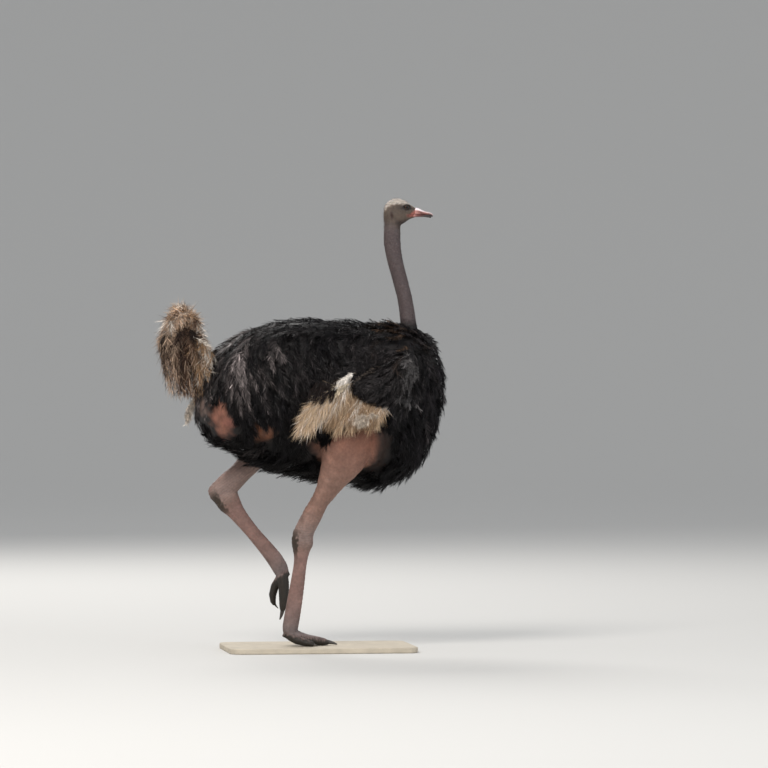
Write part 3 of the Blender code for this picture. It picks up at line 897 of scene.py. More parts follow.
@dataclass
class Blades:
    """Many single thin blades, such as hairs, lashes and the down of the neck."""

    root: Array
    along: Array
    normal: Array
    length: Array
    half_width: float
    tint: Array
    place: Array
    droop: float = 0.25            # how far each bends back to the skin, as a share of its length

    def grow(self, name: str) -> Piece:
        """The blades as one mesh, dressed as down.

        Args:
            name: the piece's name.

        Returns:
            The piece.
        """
        aside = unit(np.cross(self.normal, self.along)) * self.half_width
        length = self.length[:, None]
        middle = self.root + self.along * length * 0.5
        tip = self.root + (self.along - self.normal * self.droop) * length
        corners = np.stack((self.root - aside, self.root + aside, middle - aside * 0.8,
                            middle + aside * 0.8, tip), 1)
        strip = np.array(((0, 1, 3), (0, 3, 2), (2, 3, 4)))
        faces = np.arange(len(corners))[:, None, None] * 5 + strip
        reach = np.array((0.0, 0.0, 0.5, 0.5, 1.0))
        hand = np.array((-0.4, 0.4, -0.4, 0.4, 0.0))
        spots = self.place[:, None] + TUFT_PATCH * np.stack((reach - 0.5, hand), 1)[None]
        tints = self.tint[:, None] * (0.8 + 0.3 * reach)[None, :, None]
        return DOWN.dress(fast_object(name, (corners,), (faces,), (tints,), (spots,)))


# ---- the head


@dataclass
class Head:
    """The bare form of head and neck, with lids, ears and the corners of the mouth.

    Each row of the profile is a distance ahead of the eye, then the top, the bottom and the half width
    there, in metres from the eye's middle.
    """

    profile: Array = field(default_factory=lambda: np.array((
        (-0.1130, -0.018, -0.072, 0.0150),
        (-0.1030, 0.013, -0.094, 0.0262),
        (-0.0825, 0.034, -0.100, 0.0322),
        (-0.0575, 0.044, -0.103, 0.0352),
        (-0.0305, 0.043, -0.093, 0.0360),
        (-0.0055, 0.033, -0.078, 0.0340),
        (0.0155, 0.0195, -0.063, 0.0290),
        (0.0355, 0.0055, -0.055, 0.0235),
        (0.0490, -0.0035, -0.050, 0.0190),
    )))
    dents: tuple[Dent, ...] = (
        Dent(-0.002, 0.0185, 0.024, 0.0050, -14, -0.0030),    # brow
        Dent(0.031, -0.007, 0.012, 0.0090, -15, 0.0030),      # lore, ahead of the eye
        Dent(-0.030, -0.014, 0.013, 0.0110, 20, 0.0018),      # behind the eye
        Dent(-0.004, -0.022, 0.020, 0.0055, 4, -0.0016),      # ridge under the eye
        Dent(-0.076, -0.046, 0.011, 0.0190, 12, -0.0024),     # rim of the ear
        Dent(-0.076, -0.046, 0.0055, 0.0125, 12, 0.0085),     # ear
        Dent(-0.036, -0.064, 0.024, 0.0160, -18, -0.0022),    # muscle of the jaw
        Dent(-0.072, -0.080, 0.014, 0.0240, 30, 0.0016),      # between jaw and neck
    )
    nape: tuple[tuple[float, ...], ...] = (     # the neck's last slices, inside the head
        (-0.0700, 0.0, -0.0880, 0.0430, 0.0345),
        (-0.0670, 0.0, -0.0600, 0.0410, 0.0320),
        (-0.0600, 0.0, -0.0300, 0.0320, 0.0260),
    )
    # painted shade: darkens the lore, around the eye, and the ear
    shades: tuple[Dent, ...] = (   # of the lore, around the eye, and of the ear
        Dent(0.028, -0.006, 0.020, 0.0070, -16),
        Dent(-0.016, -0.002, 0.034, 0.0170, -6),
        Dent(-0.078, -0.042, 0.0075, 0.0230, 9),
    )
    squareness: float = 2.15
    widest: float = 0.56           # where the head is widest, as a share of its height
    opening: Oval = Oval(0, 0, 0.0172, 0.0102, 9)      # between the lids
    opening_squareness: float = 1.8
    lid: float = 0.0018
    mouth_root: Pair = (0.056, -0.0345)
    mouth_corner: Pair = (0.004, -0.042)
    mouth_depth: float = 0.0024
    fold_depth: float = 0.0008     # of the folds across the throat
    neck_grain: float = 0.0004     # height of the unevenness of the neck
    grain: float = 0.0016
    crown: Triple = (0.49, 0.435, 0.385)
    temple: Triple = (0.15, 0.11, 0.085)
    cheek: Triple = (0.082, 0.06, 0.046)
    # painted shade under the jaw
    throat: Triple = (0.03, 0.019, 0.016)
    neck: Triple = (0.08, 0.06, 0.06)
    gape: Triple = (0.27, 0.085, 0.065)
    # painted shade in the ear opening
    ear: Triple = (0.045, 0.026, 0.023)
    # painted shade in the mouth's crease, the nostril, the lore and around the eye
    dark: Triple = (0.02, 0.014, 0.013)

    def __post_init__(self) -> None:
        """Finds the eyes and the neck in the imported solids."""
        low, high = node_box("eye_left")
        self.ball = (high[0] - low[0]) / 2 + 0.0003
        self.eye = np.array(((low[0] + high[0]) / 2, high[1] - self.ball, (low[2] + high[2]) / 2))
        self.lower = Limb.measured("neck_lower", 18, -UP).trimmed(3, 2).extended(0.08, 0.03)
        upper = Limb.measured("neck_upper", 18, -UP).trimmed(1, 6).extended(0.03, 0.0)
        nape = np.array(self.nape) + (*self.eye * (1, 0, 1), 0, 0)
        self.upper = replace(upper, rows=np.vstack((upper.rows, nape)))

    def around_eye(self, points: Array) -> tuple[Array, Array, Array]:
        """Points as distances ahead of the eye and above it, and how far out they are from its opening."""
        ahead, above = points[:, 0] - self.eye[0], points[:, 2] - self.eye[2]
        power = self.opening_squareness
        out = sum(np.abs(share) ** power for share in self.opening.out(ahead, above)) ** (1 / power)
        return ahead, above, out

    def opening_edge(self, share: float, stand: float, side: Side) -> Array:
        """Points around the lids' edge, this share of its size, standing off the eyeball by so much."""
        turns, power, turn = circle(56), self.opening_squareness, math.radians(self.opening.tilt)
        along = squared(np.cos(turns), power) * self.opening.long * share
        over = squared(np.sin(turns), power) * self.opening.tall * share
        ahead = along * math.cos(turn) - over * math.sin(turn)
        above = over * math.cos(turn) + along * math.sin(turn)
        out = np.sqrt(np.maximum((self.ball + stand) ** 2 - ahead ** 2 - above ** 2, 1e-8))
        return np.stack((self.eye[0] + ahead, side.value * (self.eye[1] + out), self.eye[2] + above), 1)

    def build(self) -> Piece:
        """Head and neck as one closed mesh.

        Returns:
            The mesh's object.
        """
        ahead, top, bottom, half = spline(self.profile, np.linspace(0, 1, 60)).T
        skull = upright_rings(ahead, top, bottom, bottom + (top - bottom) * self.widest, half,
                              self.squareness, 64)
        pieces = [tube("skull", self.eye * (1, 0, 1) + skull)]
        pieces += [tube("neck", limb.refined(70).rings(48)) for limb in (self.lower, self.upper)]
        for side in Side:
            pieces.append(self._socket(side))
            pieces.append(hoop("upper_lid", self.opening_edge(1.06, 0.001, side), self.lid))
            pieces.append(hoop("lid_fold", self.opening_edge(1.42, -0.0002, side), self.lid * 0.75))
        whole = grown_together("head_form", pieces, self.grain, 2)
        ahead, above, _ = self.around_eye(vertex_places(whole.data))
        join = bell(above + 0.098, 0.03) * (1 - ease(-0.02, 0.0, ahead))
        relax(whole.data, join, 60)
        self._carve(whole.data)
        return whole

    def _socket(self, side: Side) -> Piece:
        """The swelling of the skin over the eyeball."""
        turns = np.linspace(0, math.pi, 24)
        around = circle(40)
        radius = self.ball + 0.0012
        ring = np.stack((np.cos(around), np.zeros(40), np.sin(around)), 1)
        middle = self.eye * (1, side.value, 1)
        rings = middle + radius * (np.sin(turns)[:, None, None] * ring[None]
                                   + np.cos(turns)[:, None, None] * np.array((0.0, 1.0, 0.0)))
        return tube("socket", rings)

    def _carve(self, mesh: Mesh) -> None:
        """Opens the lids and presses in the hollows, the mouth and the folds of the neck."""
        places, normals = vertex_places(mesh), vertex_normals(mesh)
        ahead, above, out = self.around_eye(places)
        face = (ahead > -0.13) & (above > -0.12)
        facing = np.abs(normals[:, 1]) * face
        depth = sum(dent.depth * dent.strength(ahead, above) for dent in self.dents) * facing
        depth += self.mouth_depth * bell(self._mouth_gap(ahead, above), 0.0017) * facing
        folds = groove(places[:, 2] + 0.004 * ripple(places, 0.05, 5), 0.016, 0.0022)
        height = places[:, 2]
        throat = ease(0.0, 0.8, normals[:, 0]) * ease(1.62, 1.72, height) * (1 - ease(2.02, 2.1, height))
        depth += self.fold_depth * folds * throat
        places -= normals * (depth + self.neck_grain * ripple(places, 0.012, 6) * (above < -0.1))[:, None]
        side = np.sign(places[:, 1])
        middle = self.eye * np.stack((np.ones(len(side)), side, np.ones(len(side))), 1)
        away = places - middle
        span = np.linalg.norm(away, axis=1)
        near = face & (out < 2.2) & (side * away[:, 1] > 0)
        target = np.where(out < 0.94, self.ball - 0.0028, np.maximum(span, self.ball + 0.0004))
        places = np.where(near[:, None], middle + away / span[:, None] * target[:, None], places)
        move_vertices(mesh, places)

    def _mouth_gap(self, ahead: Array, above: Array) -> Array:
        """How far points are from the line of the mouth."""
        start, end = np.array(self.mouth_corner), np.array(self.mouth_root)
        line = end - start
        away = np.stack((ahead, above), 1) - start
        share = np.clip(away @ line / (line @ line), 0, 1)
        return np.linalg.norm(away - share[:, None] * line, axis=1)

    def paint(self, points: Array, tint: Array) -> Array:
        """Tints for the points of head and neck.

        Args:
            points: places on the skin.
            tint: the colours so far.

        Returns:
            The colours.
        """
        ahead, above, out = self.around_eye(points)
        uneven = ripple(points, 0.01, 8)
        head = ease(-0.16, -0.08, above + 0.35 * ahead) * (points[:, 2] > SOLE + 1.9)
        front = ease(0.0, 0.02, points[:, 0] - (self.eye[0] - 0.085) + 0.2 * above)
        skull = head * (ahead > -0.125)
        line = 0.017 - 0.3 * np.clip(ahead + 0.01, 0, 1) - 0.85 * np.clip(-0.078 - ahead, 0, 1)
        level = above - line + (0.004 * uneven + 0.004 * ripple(points, 0.022, 9))
        slant = ahead - 1.03 * above + 0.003 * uneven
        gap = self._mouth_gap(ahead, above)
        # lore, lids and ear: where painted shade darkens the lore, around the eye and the ear
        lore, lids, ear = (dent.strength(ahead, above) for dent in self.shades)
        return overlaid(
            tint,
            (self.neck, ease(1.62, 1.68, points[:, 2] - SOLE) * (points[:, 0] > 0.3)),
            (self.cheek, head),
            # painted shade under the jaw
            (self.throat, head * front * (1 - ease(-0.085, -0.055, above))),
            (self.temple, skull * ease(-0.022, -0.002, level)),
            (self.crown, skull * ease(-0.01, 0.008, level)),
            (self.gape, head * ease(0.05, 0.064, slant) * ease(-0.056, -0.044, above)),
            (self.gape, head * bell(gap, 0.005) * 0.7),
            # painted shade in the crease of the mouth
            (self.dark, head * bell(gap, 0.0012) * 0.8),
            # painted shade of the lore and around the eye
            (self.dark, head * np.maximum(lore * 0.8, lids * 0.75)),
            # painted shade in the ear
            (self.ear, head * ear),
            (self.dark, head * (1 - ease(1.2, 1.75, out)) * 0.95))


@dataclass
class Eye:
    """One eyeball, with its iris and pupil, seen between the lids."""

    side: Side
    head: Head
    gaze_ahead: float = 0.1        # how far it looks ahead, as a share
    iris: float = 0.72             # angle from the gaze to the iris's edge, in radians
    pupil: float = 0.38
    bulge: float = 0.0009
    brown: Triple = (0.036, 0.016, 0.008)
    rim: Triple = (0.014, 0.008, 0.006)
    black: Triple = (0.003, 0.003, 0.003)

    def build(self) -> Piece:
        """Makes the eyeball and dresses it.

        Returns:
            The piece.
        """
        gaze = unit(np.array((self.gaze_ahead, self.side.value, -0.05)))
        east = unit(np.cross(UP, gaze))
        north = np.cross(gaze, east)
        turns = np.linspace(0.02, math.pi - 0.02, 40)
        around = circle(56)
        ring = np.cos(around)[:, None] * east + np.sin(around)[:, None] * north
        radius = self.head.ball + self.bulge * (1 - ease(self.iris * 0.6, self.iris * 1.2, turns))
        middle = self.head.eye * (1, self.side.value, 1)
        rings = middle + (radius * np.sin(turns))[:, None, None] * ring + (
            radius * np.cos(turns))[:, None, None] * gaze
        made = tube(f"eyeball_{self.side.word}", rings)
        away = unit(vertex_places(made.data) - middle)
        angle = np.arccos(np.clip(away @ gaze, -1, 1))
        spin = np.arctan2(away @ north, away @ east)
        rays = 1 + 0.35 * np.sin(spin * 23 + 3 * np.sin(spin * 7)) * ease(self.pupil, self.iris, angle)
        tint = np.broadcast_to(self.rim, away.shape)
        iris = 1 - ease(self.iris * 0.9, self.iris, angle)
        tint = tint + (np.array(self.brown) * rays[:, None] - tint) * iris[:, None]
        pupil = 1 - ease(self.pupil * 0.9, self.pupil * 1.05, angle)
        set_tint(made.data, overlaid(tint, (self.black, pupil)))
        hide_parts(f"eye_{self.side.word}")
        return EYE_GLOSS.dress(made)


@dataclass
class Bill:
    """The two halves of the flat, blunt bill."""

    root: Triple = (0.49, 0.23, 0.21)
    middle: Triple = (0.4, 0.18, 0.15)
    # painted reflection of bright sky along the top of the upper half
    ridge: Triple = (0.86, 0.76, 0.78)
    edge: Triple = (0.105, 0.03, 0.026)
    tip: Triple = (0.028, 0.018, 0.018)
    ridge_rise: float = 0.0011
    nail_rise: float = 0.0009
    nostril_depth: float = 0.0024
    closing: float = 0.0006        # how far each half reaches towards the other
    nostril: Dent = Dent(0.068, -0.0235, 0.015, 0.002, -9)

    def build(self, head: Head) -> list[Piece]:
        """Both halves, dressed.

        Args:
            head: the head that carries them.

        Returns:
            The pieces.
        """
        return [self._half("bill_upper", head, 1.0), self._half("bill_lower", head, -1.0)]

    def _half(self, node: str, head: Head, top: float) -> Piece:
        """One half, whose outer side looks up (1) or down (-1)."""
        limb = Limb.measured(node, 16, -AHEAD).extended(0.008, 0.0).refined(64)
        rings = limb.rings(72)
        turns = circle(72)
        inner = np.clip(-np.cos(turns) * top, 0, 1)
        flat = (1 - np.abs(np.sin(turns)) ** 7) ** (1 / 7) - inner
        rings = rings - (limb.rows[:, 3, None] * flat * (inner > 0))[..., None] * limb.fore_axis * top
        shut = self.closing + 0.0016 * ease(0.55, 0.9, np.linspace(0, 1, 64))
        rings[..., 2] -= top * shut[:, None] * (inner > 0)
        made = tube(node + "_horn", rings)
        places, normals = vertex_places(made.data), vertex_normals(made.data)
        share, over, across = limb.locate(places)
        outer = np.clip(over * top, 0, 1)
        ridge = bell(across, 0.3) * outer * (1 - ease(0.72, 0.86, share))
        nail = ease(0.8, 0.84, share) * outer * bell(across, 0.75, 4)
        hollow = 0.0
        if top > 0:
            ahead, above, _ = head.around_eye(places)
            hollow = self.nostril.strength(ahead, above) * np.abs(normals[:, 1]) ** 0.5
        rise = ridge * self.ridge_rise + nail * self.nail_rise - hollow * self.nostril_depth
        move_vertices(made.data, places + normals * rise[:, None])
        tint = overlaid(np.broadcast_to(self.root, places.shape), (self.middle, ease(0.12, 0.55, share)))
        uneven = share + 0.03 * ripple(places, 0.006, 12)
        if top > 0:
            # Painted reflection of bright sky: the upper side of the upper half is pale, less so towards
            # the tip.
            pale = ease(0.1, 0.28, uneven) * (1 - 0.45 * ease(0.42, 0.6, uneven))
            layers = (
                (self.ridge, ease(0.05, 0.6, over) * pale),
                # painted shade in the nostril
                (head.dark, hollow),
                (self.edge, ease(0.3, -0.25, over) * ease(0.3, 0.55, uneven)),
                (self.tip, ease(0.35, -0.2, over) * ease(0.62, 0.8, uneven)),
                (self.tip, ease(0.9, 0.96, uneven)))
        else:
            layers = (self.edge, ease(0.16, 0.45, uneven)), (self.tip, ease(0.42, 0.66, uneven))
        set_tint(made.data, overlaid(tint, *layers))
        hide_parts(node)
        return HORN.dress(made)


# ---- the legs


@dataclass
class Leg:
    """One bare leg: thigh, hock, tarsus and two toes, with their folds, tendons and scutes."""

    side: Side
    grain: float = 0.0027
    fold_pitch: float = 0.012
    fold_depth: float = 0.001
    scute_pitch: float = 0.014
    scute_depth: float = 0.0012
    toe_scute_pitch: float = 0.0085
    toe_scute_depth: float = 0.001
    toe_grain: float = 0.0004
    tendon_depth: float = 0.003
    wrinkle_depth: float = 0.0016  # of the rough skin behind the hock
    muscle_depth: float = 0.0035
    crease_depth: float = 0.0012   # of the creases over the muscles
    heel_rise: float = 0.004       # how thick the rough pad is
    heel_offset: float = 0.034     # how far past the joint the rough pad lies
    belly: float = 0.8             # the height under which all skin belongs to a leg
    # painted shade: the top of the thigh is darker and redder, where the plumes shade it
    thigh_top: Triple = (0.156, 0.055, 0.03)
    thigh_low: Triple = (0.215, 0.122, 0.093)
    hock: Triple = (0.215, 0.152, 0.134)
    heel: Triple = (0.026, 0.017, 0.01)
    shank: Triple = (0.204, 0.12, 0.102)
    shank_low: Triple = (0.132, 0.106, 0.102)
    toes: Triple = (0.021, 0.017, 0.013)

    def __post_init__(self) -> None:
        """Reads the leg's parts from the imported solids."""
        back_up = UP - AHEAD * 2
        word = self.side.word
        self.thigh = Limb.measured(f"thigh_{word}", 20, UP).extended(0.07, 0.03)
        self.tarsus = Limb.measured(f"tarsus_{word}", 20, UP).extended(0.0, 0.02)
        self.inner = Limb.measured(f"toe_inner_{word}", 16, back_up).extended(0.02, 0.0)
        self.outer = Limb.measured(f"toe_outer_{word}", 16, back_up).extended(0.02, 0.0)
        self.down = unit(self.tarsus.centres[-3] - self.tarsus.centres[3])
        self.joint = self.tarsus.centres[4]

    def build(self) -> Piece:
        """The leg as one closed mesh.

        Returns:
            The mesh's object.
        """
        pieces = [tube("shaft", spline(self._shaft(52), np.linspace(0, 1, 150)))]
        pieces += [tube("toe", limb.refined(60).rings(52)) for limb in (self.inner, self.outer)]
        whole = grown_together("leg_form", pieces, self.grain, 4)
        ankle = np.linalg.norm(vertex_places(whole.data) - self.inner.centres[3], axis=1)
        relax(whole.data, bell(ankle, 0.055), 40)
        places, normals = vertex_places(whole.data), vertex_normals(whole.data)
        places = places - normals * self._depth(places)[:, None]
        places[:, 2] = np.maximum(places[:, 2], FLOAT)
        move_vertices(whole.data, places)
        return whole

    def _shaft(self, sides: int) -> Array:
        """Rings from the top of the thigh to the foot, with one at the bend of the hock."""
        thigh, tarsus = self.thigh.trimmed(0, 6), self.tarsus.trimmed(5, 0)
        above, below = thigh.centres[-1], tarsus.centres[0]
        down_thigh = unit(above - thigh.centres[-4])
        down_shank = unit(tarsus.centres[3] - below)
        cosine = down_thigh @ down_shank
        gap = below - above
        reach = (gap @ down_thigh - cosine * (gap @ down_shank)) / (1 - cosine ** 2)
        back = (cosine * (gap @ down_thigh) - gap @ down_shank) / (1 - cosine ** 2)
        middle = (above + down_thigh * reach + below + down_shank * back) / 2
        fore = unit(thigh.fore_axis + tarsus.fore_axis)
        turns = circle(sides)[:, None]
        half, wide = (thigh.rows[-1, 3:] + tarsus.rows[0, 3:]) / 2
        half /= math.sqrt((1 + cosine) / 2)
        bend = middle + np.cos(turns) * half * fore + np.sin(turns) * wide * thigh.across_axis
        return np.concatenate((thigh.rings(sides), bend[None], tarsus.rings(sides)))

    def _past(self, places: Array) -> Array:
        """How far down the tarsus points are from the hock's joint."""
        return (places - self.joint) @ self.down

    def _regions(self, places: Array) -> tuple[Array, Array, Array]:
        """How far each point belongs to thigh and hock, to the tarsus, and to the toes."""
        past = self._past(places)
        foot = (places - self.inner.centres[3]) @ self.down
        toes = ease(-0.035, 0.025, foot)
        shank = ease(0.04, 0.1, past) * (1 - toes)
        return 1 - np.maximum(shank, toes), shank, toes

    def _depth(self, places: Array) -> Array:
        """How deep the folds, tendons and scutes press into the skin."""
        thigh, shank, toes = self._regions(places)
        share, over, across = self.tarsus.locate(places)
        past = self._past(places)
        stray = 0.0035 * ripple(places, 0.05, 21)
        hock = bell(past + 0.01, 0.075)
        depth = self.fold_depth * groove(past + stray, self.fold_pitch, 0.0024) * hock
        depth += self.wrinkle_depth * ripple(places, 0.02, 22) * hock * ease(-0.2, -0.8, over)
        sides = bell(np.abs(across) - 0.85, 0.3) * bell(over + 0.3, 0.24)
        depth += self.tendon_depth * sides * shank * ease(0.1, 0.3, share)
        depth -= self.heel_rise * ease(-0.3, -0.8, over) * bell(past - self.heel_offset, 0.06, 4)
        front = ease(0.25, 0.65, over) * shank * ease(0.22, 0.45, share)
        rows = groove(share * 0.5 + 0.0012 * ripple(places, 0.03, 23), self.scute_pitch, 0.002)
        depth += self.scute_depth * rows * front
        for toe, pitch in ((self.inner, self.toe_scute_pitch), (self.outer, self.toe_scute_pitch * 0.8)):
            reach, up, wide = toe.locate(places)
            near = (np.hypot(up, wide) < 1.35) * toes
            scutes = groove(reach * 0.2, pitch, 0.0017)
            depth += self.toe_scute_depth * scutes * near * ease(0.1, 0.6, up)
        depth += self.toe_grain * ripple(places, 0.006, 24) * toes
        muscle = self.muscle_depth * ripple(places * (1, 1, 0.4), 0.1, 25 + self.side.value)
        creases = self.crease_depth * ripple(places, 0.024, 27)
        return depth + (muscle + creases) * thigh * (1 - hock)

    def paint(self, points: Array, tint: Array) -> Array:
        """Tints for the points of this leg.

        Args:
            points: places on the skin.
            tint: the colours so far.

        Returns:
            The colours.
        """
        index = np.flatnonzero((points[:, 1] * self.side.value > 0)
                               & (points[:, 2] < self.thigh.centres[4, 2] + 0.05))
        leg_share, leg_over, leg_across = self.thigh.locate(points[index])
        out = np.hypot(leg_over, leg_across)
        own = (out < 2.0) | (points[index, 2] < SOLE + self.belly)
        index, leg_share, out = index[own], leg_share[own], out[own]
        places = points[index]
        past = self._past(places)
        on_leg = np.maximum(1 - ease(1.08, 1.25, out), ease(-0.15, -0.05, past))
        _, shank, toes = self._regions(places)
        share, over, _ = self.tarsus.locate(places)
        hock = bell(past + 0.01, 0.09)
        rough = 0.25 * ripple(places, 0.02, 31)
        heel = ease(-0.42, -0.72, over + 0.6 * rough) * bell(past - self.heel_offset, 0.066, 4)
        colours = overlaid(
            tint[index],
            # painted shade: the top of the thigh darker than below, under the plumes
            (self.thigh_top, on_leg),
            (self.thigh_low, on_leg * ease(0.25, 0.6, leg_share)),
            (self.hock, hock * 0.9),
            (self.shank, shank),
            (self.shank_low, shank * ease(0.5, 0.9, share)),
            (self.heel, heel * 0.95),
            (self.toes, ease(0.12, 0.7, toes + 0.15 * ripple(places, 0.015, 32))))
        # painted shade in the folds of the hock
        lines = groove(past + 0.0035 * ripple(places, 0.05, 21), self.fold_pitch, 0.0022) * hock
        blush = 1 + 0.14 * ripple(places, 0.05, 33)
        tint[index] = colours * (1 - 0.15 * lines)[:, None] * blush[:, None]
        return tint


@dataclass
class Claw:
    """One blunt claw, ridged along its top."""

    node: str
    ridge_rise: float = 0.0009
    layer_depth: float = 0.00018

    def build(self) -> Piece:
        """Makes the claw and dresses it.

        Returns:
            The piece.
        """
        limb = Limb.measured(self.node, 14, UP - AHEAD * 2).refined(34)
        made = tube(self.node + "_horn", limb.rings(36))
        places, normals = vertex_places(made.data), vertex_normals(made.data)
        share, over, across = limb.locate(places)
        ridge = bell(across, 0.35) * ease(0.0, 0.6, over) * (1 - share)
        layers = self.layer_depth * groove(share, 0.09, 0.02)
        places += normals * (self.ridge_rise * ridge - layers)[:, None]
        places[:, 2] = np.maximum(places[:, 2], FLOAT)
        move_vertices(made.data, places)
        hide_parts(self.node)
        return CLAW.dress(made)


# ---- the skin


PATCHES = (
    BarePatch(-0.512, 1.158, 0.080, 0.036, -78, (0.205, 0.086, 0.058)),
    BarePatch(-0.470, 1.132, 0.028, 0.018, -8, (0.190, 0.074, 0.054)),
    BarePatch(-0.598, 1.208, 0.036, 0.012, -88, (0.120, 0.080, 0.066)),
    BarePatch(-0.302, 1.092, 0.044, 0.042, 0, (0.125, 0.048, 0.024)),
    # bare skin under the plumes beside the thigh, painted dark as shade
    BarePatch(-0.045, 1.028, 0.050, 0.024, -10, (0.034, 0.015, 0.011)),
    # bare skin of the flank before the thigh, painted almost black as shade
    BarePatch(0.268, 0.995, 0.058, 0.092, -22, (0.019, 0.009, 0.006)),
)


@dataclass
class Skin:
    """The one bare skin of head, neck, trunk and legs, under the plumage."""

    trunk: TrunkForm
    head: Head
    legs: tuple[Leg, ...]
    coat_depth: float = 0.055
    patch_depth: float = 0.014
    most_triangles: int = 330_000
    # painted shade: the skin under the plumage is nearly black, for the shade deep in the coat
    hidden: Triple = (0.01, 0.008, 0.008)

    def build(self) -> Piece:
        """Joins the parts, paints them and dresses the whole.

        Returns:
            The piece.
        """
        trunk = tube("trunk_form", self.trunk.skin(self.coat_depth, PATCHES, self.patch_depth))
        whole = self._united([trunk, self.head.build(), *(leg.build() for leg in self.legs)])
        triangles = triangle_count(whole)
        if triangles > self.most_triangles:
            fewer = whole.modifiers.new("fewer", "DECIMATE")
            fewer.ratio = self.most_triangles / triangles
            settle(whole)
        whole.name = "skin"
        places = vertex_places(whole.data)
        # Painted shade under the coat to start with; the bare patches, the legs and the head are painted
        # over it.
        tint = np.broadcast_to(self.hidden, places.shape)
        shade = 1 + 0.25 * ripple(places, 0.03, 51)
        for patch in PATCHES:
            bare = patch.cover(places) * (np.abs(places[:, 1]) > 0.04)
            tint = tint + (np.array(patch.tint) * shade[:, None] - tint) * bare[:, None]
        for leg in self.legs:
            tint = leg.paint(places, tint)
        set_tint(whole.data, self.head.paint(places, tint))
        words = [side.word for side in Side]
        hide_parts("trunk", "neck_lower", "neck_upper", "head", *(
            f"{part}_{word}" for part in ("thigh", "tarsus", "toe_inner", "toe_outer") for word in words))
        return BARE_SKIN.dress(whole)

    @staticmethod
    def _united(pieces: list[Piece]) -> Piece:
        """One closed mesh of all the pieces, which are removed."""
        whole = pieces[0]
        for piece in pieces[1:]:
            join = whole.modifiers.new("join", "BOOLEAN")
            join.operation = "UNION"
            join.solver = "MANIFOLD"
            join.object = piece
            before = len(whole.data.polygons)
            settle(whole)
            bpy.data.objects.remove(piece)
            log.info("  skin joined: %d faces, then %d", before, len(whole.data.polygons))
        return whole


# ---- the coat


def trunk_unwrap(points: Array) -> Array:
    """Places on the unwrap of the trunk's skin: along it, and around it."""
    low, high = node_box("trunk")
    middle = (low + high) / 2
    along = (points[:, 0] - low[0] + 0.1) / (high[0] - low[0] + 0.2)
    around = np.arctan2(points[:, 1], points[:, 2] - middle[2]) / (2 * math.pi) + 0.5
    return np.column_stack((along, around))


